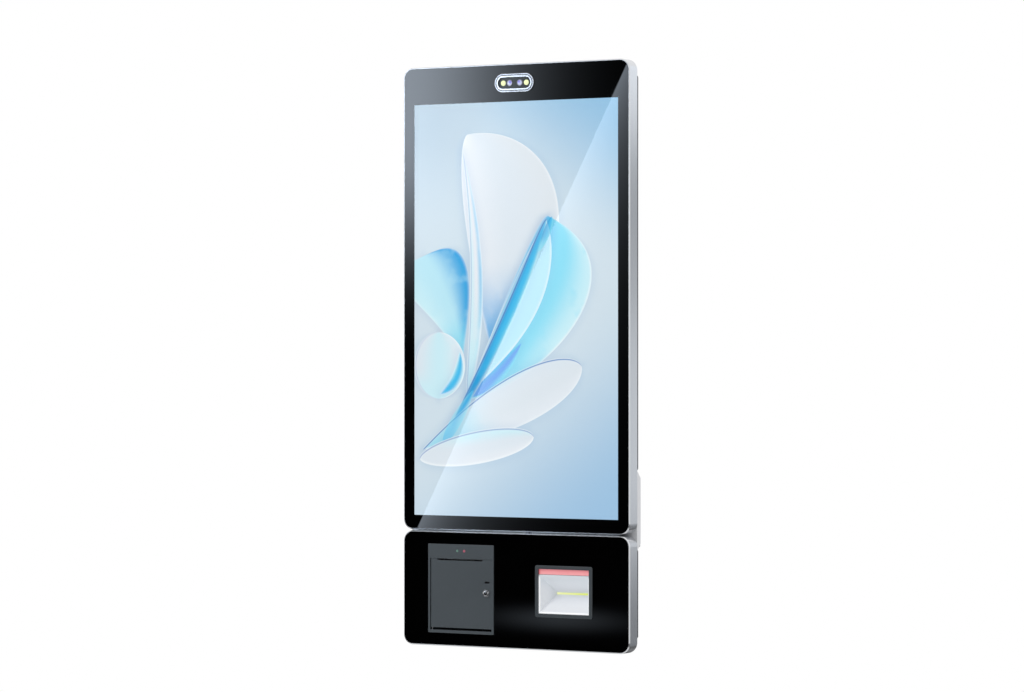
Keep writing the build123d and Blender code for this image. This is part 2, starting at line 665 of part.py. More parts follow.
# ---------------------------------------------------------------- wall bracket
with BuildPart() as wall_plate:
    half = WALL_PLATE_WIDTH / 2
    block(-half, half, -120, 94, 0, PLATE_THICK)
    block(-half, half, 92, 94, 0, 7)
    block(-half, half, 92, HOOK_TOP, 5, 7)
    block(-90, 90, -120, -118, 0, 11)
    for x in (-75, 75):
        slab(x, -15, 84, 84, 0, PLATE_THICK, 8, Mode.SUBTRACT)
    with BuildSketch(wall_plane(0)) as wall_holes:
        with GridLocations(WALL_BOLT_X, WALL_BOLT_Z, 2, 2):
            Circle(WALL_BOLT_HOLE)
    extrude(wall_holes.sketch, amount=PLATE_THICK, mode=Mode.SUBTRACT)
    for x in (-60, 60):
        post(x, 7, 2.7, -121, -117, Mode.SUBTRACT)
save(wall_plate, "wall_plate")

with BuildPart() as hang_plate:
    half = HANG_PLATE_WIDTH / 2
    block(-half, half, -116, HOOK_TOP + 2, COVER_BACK - PLATE_THICK, COVER_BACK)
    block(-half, half, HOOK_TOP, HOOK_TOP + 2, 2.6, COVER_BACK)
    block(-half, half, 96, HOOK_TOP + 2, 2.6, 4.6)
    block(-80, 80, -116, -114, 3, COVER_BACK)
    for x in (-60, 60):
        for z in (-48, 48):
            slab(x, z, 80, 74, COVER_BACK - PLATE_THICK, COVER_BACK, 8, Mode.SUBTRACT)
    with BuildSketch(wall_plane(COVER_BACK - PLATE_THICK)) as hang_holes:
        with GridLocations(HANG_BOLT_SPACING, HANG_BOLT_SPACING, 2, 2):
            Circle(3.2)
    extrude(hang_holes.sketch, amount=PLATE_THICK, mode=Mode.SUBTRACT)
    for x in (-60, 60):
        post(x, 7, 2.7, -117, -113, Mode.SUBTRACT)
save(hang_plate, "hang_plate")

with BuildPart() as bracket_bolts:
    corners = [(x, z) for x in (-100, 100) for z in (-100, 100)]
    disc(corners, 5.2, COVER_BACK - PLATE_THICK - 3.2, COVER_BACK - PLATE_THICK)
    disc(corners, 2, COVER_BACK - PLATE_THICK - 3.2, COVER_BACK - PLATE_THICK - 1.4, Mode.SUBTRACT)
    disc(corners, 3, COVER_BACK - PLATE_THICK, INNER_BACK + 1.8)
    for x in (-60, 60):
        post(x, 7, 4.4, -123, -120)
        post(x, 7, 1.8, -123, -121.6, Mode.SUBTRACT)
        post(x, 7, 2.5, -120, -106)
save(bracket_bolts, "bracket_bolts")

# ---------------------------------------------------------------- receipt printer
hole_left, hole_right, hole_bottom, hole_top = DOOR_HOLE
collar_left = PRINTER_X - COLLAR_WIDTH / 2
collar_right = PRINTER_X + COLLAR_WIDTH / 2

with BuildPart() as printer_bezel:
    slab(PRINTER_X, PRINTER_Z, PRINTER_WIDTH, PRINTER_HEIGHT, FRONT, BEZEL_FRONT, 1)
    chamfer(printer_bezel.faces().sort_by(Axis.Y)[0].edges(), 0.4)
    block(hole_left, hole_right, hole_bottom, hole_top, FRONT, BEZEL_FRONT, Mode.SUBTRACT)
    block(collar_left, collar_right, COLLAR_BOTTOM, COLLAR_TOP, COLLAR_BACK, FRONT)
    block(hole_left, hole_right, hole_bottom, COLLAR_TOP - 1.6, COLLAR_BACK, FRONT, Mode.SUBTRACT)
    block(hole_left, HINGE_X + 3, hole_top, hole_top + 5, GLASS_BACK, FRONT)
    disc([(READY_X, INDICATOR_Z), (ERROR_X, INDICATOR_Z)], INDICATOR_RADIUS, FRONT, BEZEL_FRONT, Mode.SUBTRACT)
    post(HINGE_X, HINGE_DEPTH, HINGE_PIN, hole_bottom - 1.2, hole_top + 4, Mode.SUBTRACT)
save(printer_bezel, "printer_bezel")

with BuildPart() as hinge_pin:
    post(HINGE_X, HINGE_DEPTH, HINGE_PIN, hole_bottom - 1.2, hole_top + 4)
save(hinge_pin, "hinge_pin")

with BuildPart() as printer_door:
    block(HINGE_X, DOOR_RIGHT, DOOR_BOTTOM, DOOR_TOP, DOOR_FRONT - DOOR_THICK, DOOR_FRONT)
    post(HINGE_X, HINGE_DEPTH, HINGE_RADIUS, DOOR_BOTTOM, DOOR_TOP)
    post(HINGE_X, HINGE_DEPTH, HINGE_PIN + RUNNING_GAP, DOOR_BOTTOM, DOOR_TOP, Mode.SUBTRACT)
    slab(SLOT_X, SLOT_BOTTOM + 2, SLOT_WIDTH, 4, DOOR_FRONT - DOOR_THICK, DOOR_FRONT, mode=Mode.SUBTRACT)
    slab(BUTTON_X, BUTTON_Z, 10, 3, DOOR_FRONT - DOOR_THICK, DOOR_FRONT, 1.2, Mode.SUBTRACT)
    disc([(LOCK_X, LOCK_Z)], LOCK_BODY + 0.1, DOOR_FRONT - DOOR_THICK, DOOR_FRONT, Mode.SUBTRACT)
save(printer_door, "printer_door")

with BuildPart() as lock_barrel:
    disc([(LOCK_X, LOCK_Z)], LOCK_HEAD, DOOR_FRONT, DOOR_FRONT + 2.2)
    fillet(lock_barrel.faces().sort_by(Axis.Y)[0].edges(), 0.8)
    disc([(LOCK_X, LOCK_Z)], LOCK_BODY, CAM_BACK + 1.8, DOOR_FRONT)
    disc([(LOCK_X, LOCK_Z)], LOCK_CORE + RUNNING_GAP, CAM_BACK, DOOR_FRONT + 3, Mode.SUBTRACT)
save(lock_barrel, "lock_barrel")

with BuildPart() as lock_nut:
    with BuildSketch(wall_plane(DOOR_FRONT - DOOR_THICK - 2.5)) as nut_outline:
        with Locations((LOCK_X, LOCK_Z)):
            RegularPolygon(6.6, 6, major_radius=False)
            Circle(LOCK_BODY, mode=Mode.SUBTRACT)
    extrude(nut_outline.sketch, amount=2.5)
save(lock_nut, "lock_nut")

with BuildPart() as lock_plug:
    disc([(LOCK_X, LOCK_Z)], LOCK_CORE, CAM_BACK, DOOR_FRONT + 2.6)
    disc([(LOCK_X, LOCK_Z)], 4.4, DOOR_FRONT + 2.6, DOOR_FRONT + 5)
    fillet(lock_plug.faces().sort_by(Axis.Y)[0].edges(), 0.7)
    slab(LOCK_X, LOCK_Z, 1.2, 5.2, DOOR_FRONT - 2, DOOR_FRONT + 5.2, mode=Mode.SUBTRACT)
save(lock_plug, "lock_plug")

with BuildPart() as lock_cam:
    with BuildSketch(wall_plane(CAM_BACK)) as cam_outline:
        with Locations((LOCK_X, LOCK_Z)):
            Circle(4.6)
        with Locations((LOCK_X, LOCK_Z - CAM_LENGTH / 2)):
            RectangleRounded(7, CAM_LENGTH, 2)
        with Locations((LOCK_X, LOCK_Z)):
            Circle(LOCK_CORE, mode=Mode.SUBTRACT)
    extrude(cam_outline.sketch, amount=1.5)
save(lock_cam, "lock_cam")

with BuildPart() as status_leds:
    disc([(READY_X, INDICATOR_Z), (ERROR_X, INDICATOR_Z)], INDICATOR_RADIUS, GLASS_BACK, BEZEL_FRONT + 0.3)
    fillet(status_leds.edges().filter_by(GeomType.CIRCLE).group_by(Axis.Y)[0], 0.3)
save(status_leds, "status_leds")

with BuildPart() as feed_button:
    block(BUTTON_X - 4.2, BUTTON_X + 4.2, BUTTON_Z - 1.2, BUTTON_Z + 1.2, 77, 81.4)
    disc([(BUTTON_X, BUTTON_Z)], 1.5, 71, 77)
save(feed_button, "feed_button")

with BuildPart() as printer_tub:
    block(collar_left, collar_right, COLLAR_BOTTOM, COLLAR_TOP, TUB_BACK, COLLAR_BACK)
    block(
        collar_left + TUB_WALL,
        collar_right - TUB_WALL,
        COLLAR_BOTTOM + TUB_WALL,
        COLLAR_TOP - TUB_WALL,
        TUB_BACK + TUB_WALL,
        COLLAR_BACK,
        Mode.SUBTRACT,
    )
    block(collar_right - 2, collar_right + 1, LOCK_Z - 20, LOCK_Z + 8, 69, COLLAR_BACK, Mode.SUBTRACT)
    block(BUTTON_X - 4.5, collar_right - 0.6, BUTTON_Z - 3.5, BUTTON_Z + 3.5, 71.5, 74.5)
    disc([(BUTTON_X, BUTTON_Z)], 1.5 + RUNNING_GAP, 70, 75, Mode.SUBTRACT)
    for x in (-140, -70):
        for z in (-590, -475):
            disc([(x, z)], SPACER_RADIUS, INNER_BACK, TUB_BACK)
save(printer_tub, "printer_tub")

platen_centre = (PLATEN_DEPTH, PLATEN_Z)
platen_pitch = GEAR_MODULE * PLATEN_TEETH / 2
idler_pitch = GEAR_MODULE * IDLER_TEETH / 2
pinion_pitch = GEAR_MODULE * PINION_TEETH / 2
to_idler = radians(IDLER_ANGLE)
to_motor = radians(MOTOR_ANGLE)
idler_centre = (
    PLATEN_DEPTH - (platen_pitch + idler_pitch) * cos(to_idler),
    PLATEN_Z + (platen_pitch + idler_pitch) * sin(to_idler),
)
motor_centre = (
    idler_centre[0] - (idler_pitch + pinion_pitch) * cos(to_motor),
    idler_centre[1] + (idler_pitch + pinion_pitch) * sin(to_motor),
)
idler_phase = to_idler + pi + pi / IDLER_TEETH
pinion_phase = to_motor + pi - (pi - (to_motor - idler_phase) * IDLER_TEETH) / PINION_TEETH

with BuildPart() as mech_frame:
    for inner in (CHEEK_LEFT, CHEEK_RIGHT - CHEEK_THICK):
        block(inner, inner + CHEEK_THICK, -592, -466, TUB_BACK + TUB_WALL, 74)
        block(inner, inner + CHEEK_THICK, -488, -466, 74, 80)
    block(CHEEK_LEFT, CHEEK_RIGHT, -467.2, -466, TUB_BACK + TUB_WALL, 75)
    for depth in (75.4, 77.8):
        block(CHEEK_LEFT + CHEEK_THICK, CHEEK_LEFT + 4.2, -488, -467.2, depth, depth + 1)
        block(CHEEK_RIGHT - 4.2, CHEEK_RIGHT - CHEEK_THICK, -488, -467.2, depth, depth + 1)
    bar(*platen_centre, PLATEN_SHAFT + RUNNING_GAP, CHEEK_LEFT - 1, CHEEK_RIGHT + 1, Mode.SUBTRACT)
    bar(*motor_centre, 5, CHEEK_LEFT - 1, CHEEK_LEFT + 2, Mode.SUBTRACT)
    bar(*idler_centre, IDLER_STUD, GEAR_LEFT - 0.4, CHEEK_LEFT)
save(mech_frame, "mech_frame")

with BuildPart() as paper_spindle:
    bar(ROLL_DEPTH, ROLL_Z, SPINDLE_RADIUS, CHEEK_LEFT + CHEEK_THICK, CHEEK_RIGHT - CHEEK_THICK)
    bar(ROLL_DEPTH, ROLL_Z, SPINDLE_RADIUS - 1.2, CHEEK_LEFT, CHEEK_RIGHT, Mode.SUBTRACT)
save(paper_spindle, "paper_spindle")

roll_left = SLOT_X - ROLL_WIDTH / 2
roll_right = SLOT_X + ROLL_WIDTH / 2
core_bore = SPINDLE_RADIUS + RUNNING_GAP
with BuildPart() as paper_core:
    bar(ROLL_DEPTH, ROLL_Z, core_bore + 1.5, roll_left - 0.5, roll_right + 0.5)
    bar(ROLL_DEPTH, ROLL_Z, core_bore, roll_left - 1, roll_right + 1, Mode.SUBTRACT)
save(paper_core, "paper_core")

with BuildPart() as paper_roll:
    bar(ROLL_DEPTH, ROLL_Z, ROLL_RADIUS, roll_left, roll_right)
    bar(ROLL_DEPTH, ROLL_Z, core_bore + 1.5, roll_left, roll_right, Mode.SUBTRACT)
save(paper_roll, "paper_roll")

# The paper runs tangent to the back of the roll, to the back of the platen, round it and out.
roll_arc = ROLL_RADIUS + PAPER_GAP + PAPER_THICK / 2
platen_arc = PLATEN_RADIUS + PAPER_GAP + PAPER_THICK / 2
run = Vector(PLATEN_DEPTH - ROLL_DEPTH, PLATEN_Z - ROLL_Z)
lean = asin((roll_arc - platen_arc) / run.length)
along = run.normalized()
rearward = Vector(-along.Y, along.X)
tangent = along * sin(lean) + rearward * cos(lean)
leave_roll = (-(ROLL_DEPTH + roll_arc * tangent.X), ROLL_Z + roll_arc * tangent.Y)
meet_platen = (-(PLATEN_DEPTH + platen_arc * tangent.X), PLATEN_Z + platen_arc * tangent.Y)
wrap_middle = (tangent + Vector(0, 1)).normalized()
over_platen = (
    -(PLATEN_DEPTH + platen_arc * wrap_middle.X),
    PLATEN_Z + platen_arc * wrap_middle.Y,
)
platen_top = (-PLATEN_DEPTH, PLATEN_Z + platen_arc)
with BuildPart() as paper_strip:
    with BuildSketch(Plane.YZ.offset(roll_left)) as strip_section:
        with BuildLine() as strip_path:
            Line(leave_roll, meet_platen)
            ThreePointArc(meet_platen, over_platen, platen_top)
            Line(platen_top, (-76.0, platen_top[1]))
        trace(strip_path.line, PAPER_THICK)
    extrude(strip_section.sketch, amount=ROLL_WIDTH)
save(paper_strip, "paper_strip")

with BuildPart() as platen_roller:
    bar(*platen_centre, PLATEN_RADIUS, CHEEK_LEFT + 4.6, CHEEK_RIGHT - 4.6)
    bar(*platen_centre, PLATEN_SHAFT, CHEEK_LEFT, CHEEK_RIGHT, Mode.SUBTRACT)
save(platen_roller, "platen_roller")

with BuildPart() as platen_shaft:
    bar(*platen_centre, PLATEN_SHAFT, GEAR_LEFT - 0.5, CHEEK_RIGHT + 2)
save(platen_shaft, "platen_shaft")

platen_gear = gear(PLATEN_TEETH, platen_centre, to_idler, PLATEN_SHAFT)
save(platen_gear, "platen_gear")

idler_gear = gear(IDLER_TEETH, idler_centre, idler_phase, IDLER_STUD + RUNNING_GAP)
save(idler_gear, "idler_gear")

with BuildPart() as feed_motor:
    bar(*motor_centre, MOTOR_RADIUS, CHEEK_LEFT + CHEEK_THICK, CHEEK_LEFT + CHEEK_THICK + 15)
    bar(*motor_centre, MOTOR_SHAFT + RUNNING_GAP, CHEEK_LEFT, CHEEK_LEFT + 12, Mode.SUBTRACT)
save(feed_motor, "feed_motor")

pinion_wheel = gear(PINION_TEETH, motor_centre, pinion_phase, MOTOR_SHAFT - 0.5)
with BuildPart() as motor_pinion:
    add(pinion_wheel.part)
    bar(*motor_centre, MOTOR_SHAFT, GEAR_LEFT, CHEEK_LEFT + 11)
save(motor_pinion, "motor_pinion")

with BuildPart() as print_head:
    block(CHEEK_LEFT + CHEEK_THICK, CHEEK_RIGHT - CHEEK_THICK, -480.7, -478.7, 58, 74)
    block(CHEEK_LEFT + 4, CHEEK_RIGHT - 4, -478.7, -474, 56, 73)
    for x in (-135, -105.8, -77):
        block(x - 3, x + 3, -474, -467.2, 62, 68)
save(print_head, "print_head")

with BuildPart() as cutter_blade:
    block(
        CHEEK_LEFT + CHEEK_THICK + 0.4,
        CHEEK_RIGHT - CHEEK_THICK - 0.4,
        CUTTER_BOTTOM,
        CUTTER_TOP,
        CUTTER_BACK,
        CUTTER_BACK + CUTTER_THICK,
    )
    chamfer(cutter_blade.edges().filter_by(Axis.X).sort_by(Axis.Z)[0], 0.7)
save(cutter_blade, "cutter_blade")

# ---------------------------------------------------------------- code scanner
insert_width = SCANNER_WIDTH - 2 * SCANNER_BORDER
insert_height = SCANNER_HEIGHT - 2 * SCANNER_BORDER
insert_top = SCANNER_Z + insert_height / 2
insert_bottom = SCANNER_Z - insert_height / 2
mouth_top = insert_top - LIGHT_BAR_HEIGHT - 0.4
mouth_centre = (mouth_top + insert_bottom) / 2
mouth_height = mouth_top - insert_bottom

with BuildPart() as scanner_bezel:
    slab(SCANNER_X, SCANNER_Z, SCANNER_WIDTH, SCANNER_HEIGHT, FRONT, BEZEL_FRONT, SCANNER_RADIUS)
    chamfer(scanner_bezel.faces().sort_by(Axis.Y)[0].edges(), 0.9)
    slab(SCANNER_X, SCANNER_Z, SCANNER_WIDTH - 8.6, SCANNER_HEIGHT - 8.6, COLLAR_BACK, FRONT, 1.5)
    slab(SCANNER_X, SCANNER_Z, insert_width, insert_height, COLLAR_BACK, BEZEL_FRONT, 1, Mode.SUBTRACT)
save(scanner_bezel, "scanner_bezel")

with BuildPart() as scan_light_bar:
    slab(
        SCANNER_X,
        insert_top - 0.2 - LIGHT_BAR_HEIGHT / 2,
        insert_width - 0.6,
        LIGHT_BAR_HEIGHT - 0.4,
        COLLAR_BACK,
        INSERT_FRONT,
        0.4,
    )
save(scan_light_bar, "scan_light_bar")

mouth_size = (insert_width - 0.6, mouth_height - 0.4)
with BuildPart() as scanner_hopper:
    with BuildSketch(wall_plane(INSERT_FRONT)) as outer_mouth:
        with Locations((SCANNER_X, mouth_centre)):
            Rectangle(*mouth_size)
    with BuildSketch(wall_plane(HOPPER_BACK)) as outer_slit:
        with Locations((SCANNER_X, SCAN_SLIT_Z)):
            Rectangle(SCAN_SLIT[0] + 2 * HOPPER_WALL, SCAN_SLIT[1] + 2 * HOPPER_WALL)
    loft([outer_mouth.sketch.face(), outer_slit.sketch.face()])
    with BuildSketch(wall_plane(INSERT_FRONT)) as inner_mouth:
        with Locations((SCANNER_X, mouth_centre)):
            Rectangle(mouth_size[0] - 2 * HOPPER_LIP, mouth_size[1] - 2 * HOPPER_LIP)
    with BuildSketch(wall_plane(HOPPER_BACK)) as inner_slit:
        with Locations((SCANNER_X, SCAN_SLIT_Z)):
            Rectangle(*SCAN_SLIT)
    loft([inner_mouth.sketch.face(), inner_slit.sketch.face()], mode=Mode.SUBTRACT)
save(scanner_hopper, "scanner_hopper")

with BuildPart() as scan_window:
    slab(SCANNER_X, SCAN_SLIT_Z, 70, 10, HOPPER_BACK - 2, HOPPER_BACK, 1)
save(scan_window, "scan_window")

with BuildPart() as scan_engine:
    slab(SCANNER_X, SCAN_SLIT_Z, 78, 36, 22, HOPPER_BACK - 2, 2)
    disc([(SCANNER_X - 30, SCAN_SLIT_Z), (SCANNER_X + 30, SCAN_SLIT_Z)], 4, INNER_BACK, 22)
save(scan_engine, "scan_engine")
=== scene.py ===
"""The looks of the wall kiosk: its materials, its lit picture and the fine pieces its frame leaves plain.

Everything is in metres in the frame's own axes: the front faces -Y, +X is to the right as a person in
front sees it, +Z is up, and the origin is the middle of the wall bolts, on the wall. A depth is the
distance from the wall, so a point at depth d has y = -d.
"""

import json
import math

import bmesh
import bpy
from mathutils import Matrix, Vector


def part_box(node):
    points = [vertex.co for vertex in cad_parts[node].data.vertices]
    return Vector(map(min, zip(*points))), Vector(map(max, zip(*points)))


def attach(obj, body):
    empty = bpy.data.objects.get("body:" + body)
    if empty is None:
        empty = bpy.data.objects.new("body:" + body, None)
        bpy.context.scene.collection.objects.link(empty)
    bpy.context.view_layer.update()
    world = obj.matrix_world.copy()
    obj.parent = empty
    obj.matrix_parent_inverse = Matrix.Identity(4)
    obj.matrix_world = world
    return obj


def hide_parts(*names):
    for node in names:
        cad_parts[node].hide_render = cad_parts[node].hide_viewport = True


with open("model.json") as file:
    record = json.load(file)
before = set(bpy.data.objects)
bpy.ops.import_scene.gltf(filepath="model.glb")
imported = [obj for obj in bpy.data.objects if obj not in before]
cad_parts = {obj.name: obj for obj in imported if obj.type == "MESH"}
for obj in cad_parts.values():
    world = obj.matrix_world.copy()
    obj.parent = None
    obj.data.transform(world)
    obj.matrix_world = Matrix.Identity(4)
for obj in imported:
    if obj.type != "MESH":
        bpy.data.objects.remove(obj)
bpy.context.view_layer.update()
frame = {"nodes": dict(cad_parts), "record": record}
nodes = frame["nodes"]

MM = 0.001
# A Mix node keeps its colour inputs and its colour result at these places
MIX_FIRST, MIX_SECOND, MIX_RESULT = 6, 7, 2


# ------------------------------------------------------------------ places, from the frame
def middle(node):
    """The centre of a CAD node's box."""
    low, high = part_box(node)
    return (low + high) / 2


def extent(node):
    """The size of a CAD node's box."""
    low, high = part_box(node)
    return high - low


GLASS_FRONT = -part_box("touch_glass")[0].y
GLASS_BACK = -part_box("touch_glass")[1].y
GLASS_RADIUS = 16 * MM
SCREEN = middle("backlight")
SCREEN_WIDTH = extent("backlight").x
SCREEN_HEIGHT = extent("backlight").z
CAMERA_Z = middle("camera_bezel").z


# ------------------------------------------------------------------ node trees
class Number:
    """A number that changes over a surface: a node's output, with arithmetic."""

    def __init__(self, tree, source):
        self.tree = tree
        self.source = source

    def __add__(self, other):
        return calc(self.tree, "ADD", self, other)

    def __sub__(self, other):
        return calc(self.tree, "SUBTRACT", self, other)

    def __rsub__(self, other):
        return calc(self.tree, "SUBTRACT", other, self)

    def __mul__(self, other):
        return calc(self.tree, "MULTIPLY", self, other)

    def __truediv__(self, other):
        return calc(self.tree, "DIVIDE", self, other)

    def __pow__(self, other):
        return calc(self.tree, "POWER", self, other)

    __radd__ = __add__
    __rmul__ = __mul__

    def size(self):
        """The number without its sign."""
        return calc(self.tree, "ABSOLUTE", self)

    def held(self):
        """The number kept between 0 and 1."""
        return calc(self.tree, "ADD", self, 0.0, clamp=True)

    def at_least(self, low):
        return calc(self.tree, "MAXIMUM", self, low)

    def exp(self):
        return calc(self.tree, "EXPONENT", self)


def plug(tree, value, socket):
    """Feeds a socket from a number, another socket or a plain value."""
    if isinstance(value, Number):
        tree.links.new(value.source, socket)
    elif isinstance(value, bpy.types.NodeSocket):
        tree.links.new(value, socket)
    else:
        socket.default_value = value


def calc(tree, operation, *values, clamp=False):
    """The result of a Math node, as a number."""
    node = tree.nodes.new("ShaderNodeMath")
    node.operation = operation
    node.use_clamp = clamp
    for socket, value in zip(node.inputs, values):
        plug(tree, value, socket)
    return Number(tree, node.outputs[0])


def ramp(number, start, end, low=0.0, high=1.0):
    """A smooth rise from low to high as a number goes from start to end, and level beyond."""
    node = number.tree.nodes.new("ShaderNodeMapRange")
    node.interpolation_type = "SMOOTHSTEP"
    for name, value in (("From Min", start), ("From Max", end), ("To Min", low), ("To Max", high)):
        plug(number.tree, value, node.inputs[name])
    plug(number.tree, number, node.inputs["Value"])
    return Number(number.tree, node.outputs["Result"])


def bell(number, width=1.0):
    """A smooth hump: 1 where the number is 0, and falling off to either side over a width."""
    return (number * number * (-1 / width**2)).exp()


def distance(first, second):
    """How far a point is from an axis, from its two offsets."""
    return calc(first.tree, "SQRT", first * first + second * second)


def mix(tree, share, first, second):
    """A colour between two others, as a socket."""
    node = tree.nodes.new("ShaderNodeMix")
    node.data_type = "RGBA"
    plug(tree, share, node.inputs[0])
    plug(tree, first, node.inputs[MIX_FIRST])
    plug(tree, second, node.inputs[MIX_SECOND])
    return node.outputs[MIX_RESULT]


def place(tree):
    """The x, y and z of the point being shaded."""
    source = tree.nodes.new("ShaderNodeTexCoord")
    split = tree.nodes.new("ShaderNodeSeparateXYZ")
    tree.links.new(source.outputs["Object"], split.inputs[0])
    return [Number(tree, output) for output in split.outputs]


def noise(tree, scale, detail=2.0, stretch=(1, 1, 1)):
    """A cloudy number from 0 to 1, with scale waves to the metre."""
    source = tree.nodes.new("ShaderNodeTexCoord")
    mapping = tree.nodes.new("ShaderNodeMapping")
    mapping.inputs["Scale"].default_value = stretch
    cloud = tree.nodes.new("ShaderNodeTexNoise")
    cloud.inputs["Scale"].default_value = scale
    cloud.inputs["Detail"].default_value = detail
    tree.links.new(source.outputs["Object"], mapping.inputs["Vector"])
    tree.links.new(mapping.outputs[0], cloud.inputs["Vector"])
    return Number(tree, cloud.outputs[0])


def bump(tree, shader, height, distance, strength=1.0):
    """Gives a shader relief from a height number."""
    node = tree.nodes.new("ShaderNodeBump")
    node.inputs["Distance"].default_value = distance
    node.inputs["Strength"].default_value = strength
    plug(tree, height, node.inputs["Height"])
    tree.links.new(node.outputs[0], shader.inputs["Normal"])


def screen_colour(red, green, blue):
    """The linear colour of a display value from 0 to 255, by the sRGB curve."""
    linear = []
    for value in (red, green, blue):
        share = value / 255
        linear.append(((share + 0.055) / 1.055) ** 2.4 if value > 10 else share / 12.92)
    return (*linear, 1)


def scaled(colour, factor):
    """A colour made brighter or darker."""
    return (*(c * factor for c in colour[:3]), 1)


def blank(name):
    """A new material, its node tree and its shader."""
    material = bpy.data.materials.new(name)
    material.use_nodes = True
    return material, material.node_tree, material.node_tree.nodes["Principled BSDF"]


def finish(name, colour, roughness, metallic=0.0, grain=1500, depth=0.01, tone=0.05, spread=0.06):
    """A surface with its fine detail: slow changes of tone, uneven gloss, and a grain depth mm deep."""
    material, tree, shader = blank(name)
    slow = noise(tree, 14, 3)
    fine = noise(tree, grain, 2)
    toned = mix(tree, slow, scaled(colour, 1 - tone), scaled(colour, 1 + tone))
    plug(tree, toned, shader.inputs["Base Color"])
    plug(tree, (fine + slow - 1.0) * spread + roughness, shader.inputs["Roughness"])
    shader.inputs["Metallic"].default_value = metallic
    bump(tree, shader, fine, depth * MM)
    return material


# ------------------------------------------------------------------ materials
def aluminium():
    """Satin anodised extrusion: faint draw lines along it and a fine etched grain."""
    material, tree, shader = blank("anodised_aluminium")
    lines = noise(tree, 700, 2, (1, 1, 0.02))
    etch = noise(tree, 5200, 1)
    slow = noise(tree, 7, 2)
    plug(tree, mix(tree, slow, (0.74, 0.76, 0.79, 1), (0.83, 0.84, 0.86, 1)), shader.inputs["Base Color"])
    plug(tree, (lines - 0.5) * 0.05 + slow * 0.05 + 0.19, shader.inputs["Roughness"])
    shader.inputs["Metallic"].default_value = 1.0
    bump(tree, shader, lines * 0.3 + etch * 0.7, 0.002 * MM)
    return material


def ink_glass():
    """Glass printed black behind: deep, polished, with the faintest handling marks in its gloss."""
    material, tree, shader = blank("black_glass")
    smears = noise(tree, 28, 5, (1, 1, 0.5))
    specks = noise(tree, 900, 2)
    plug(tree, mix(tree, smears, (0.0003, 0.0003, 0.0003, 1), (0.0007, 0.0007, 0.0008, 1)),
         shader.inputs["Base Color"])
    plug(tree, ramp(smears, 0.45, 0.8, 0.004, 0.012) + specks * 0.003, shader.inputs["Roughness"])
    shader.inputs["IOR"].default_value = 1.5
    return material


def clear_glass():
    """The unprinted window of the front glass: what is behind shows through, with the same gloss on top."""
    material, tree, shader = blank("window_glass")
    tree.nodes.remove(shader)
    smears = noise(tree, 28, 5, (1, 1, 0.5))
    gloss = tree.nodes.new("ShaderNodeBsdfGlossy")
    plug(tree, ramp(smears, 0.45, 0.8, 0.003, 0.012), gloss.inputs["Roughness"])
    through = tree.nodes.new("ShaderNodeBsdfTransparent")
    plug(tree, mix(tree, smears, (0.985, 0.99, 0.99, 1), (0.995, 0.998, 0.998, 1)), through.inputs["Color"])
    fresnel = tree.nodes.new("ShaderNodeFresnel")
    fresnel.inputs["IOR"].default_value = 1.5
    both = tree.nodes.new("ShaderNodeMixShader")
    tree.links.new(fresnel.outputs[0], both.inputs[0])
    tree.links.new(through.outputs[0], both.inputs[1])
    tree.links.new(gloss.outputs[0], both.inputs[2])
    tree.links.new(both.outputs[0], tree.nodes["Material Output"].inputs["Surface"])
    return material


def glass_back():
    """The inner side of the window, where the coating leaves no gloss."""
    material, tree, shader = blank("window_inner_side")
    tree.nodes.remove(shader)
    through = tree.nodes.new("ShaderNodeBsdfTransparent")
    plug(tree, mix(tree, noise(tree, 28, 5), (0.99, 0.995, 0.99, 1), (1, 1, 1, 1)), through.inputs["Color"])
    tree.links.new(through.outputs[0], tree.nodes["Material Output"].inputs["Surface"])
    return material


def petal(tree, picture, u, v, base, tip, sides, bend, powers, colours, opacity=1.0, rim=0.5, line=0.0):
    """One soft petal laid over a picture.

    It runs from base to tip, reaches out to its left and right by the two sides, and its middle line
    bends to its right. The first power is how slowly it opens from its base, the second how pointed its
    tip is. colours are its left side, middle, right side and root. rim is how white its edge is, and line
    how strong a fine dark line stands just inside its left edge.
    """
    edge, rim_width, shade_width = 0.0006, 0.0032, 0.010
    line_inset, line_width = 0.0020, 0.0012
    run = Vector(tip) - Vector(base)
    length = run.length
    along_u, along_v = run / length
    from_u, from_v = u - base[0], v - base[1]
    reach = (from_u * along_u + from_v * along_v) / length
    along = reach.held()
    across = from_u * along_v - from_v * along_u - along * (1.0 - along) * (4 * bend)
    peak = powers[0] / (powers[0] + powers[1])
    most = peak ** powers[0] * (1 - peak) ** powers[1]
    half = along ** powers[0] * (1.0 - along) ** powers[1] * (1 / most)
    from_left = across + half * sides[0]
    from_right = half * sides[1] - across
    inside = calc(tree, "MINIMUM", from_left, from_right) - (reach - along).size() * length
    side = from_left / (half * (sides[0] + sides[1])).at_least(0.001)
    left, centre, right, root = (screen_colour(*colour) for colour in colours)
    colour = mix(tree, ramp(side, 0.0, 0.5), left, centre)
    colour = mix(tree, ramp(side, 0.5, 1.0), colour, right)
    colour = mix(tree, ramp(along, 0.1, 0.5, 1.0, 0.0), colour, root)
    cloud = noise(tree, 16 + 20 * peak, 2)
    colour = mix(tree, ramp(cloud, 0.5, 0.75) * 0.35, colour, centre)
    glow = bell(inside, rim_width) * rim
    colour = mix(tree, glow, colour, (0.93, 0.97, 1.0, 1))
    if line:
        hair = bell(from_left - line_inset, line_width) * line
        colour = mix(tree, hair, colour, screen_colour(10, 112, 188))
    shade = bell(inside, shade_width) * ramp(inside, -0.001, 0.0, 1.0, 0.0) * 0.14
    picture = mix(tree, shade, picture, screen_colour(120, 165, 205))
    return mix(tree, ramp(inside, -edge, edge) * opacity, picture, colour)


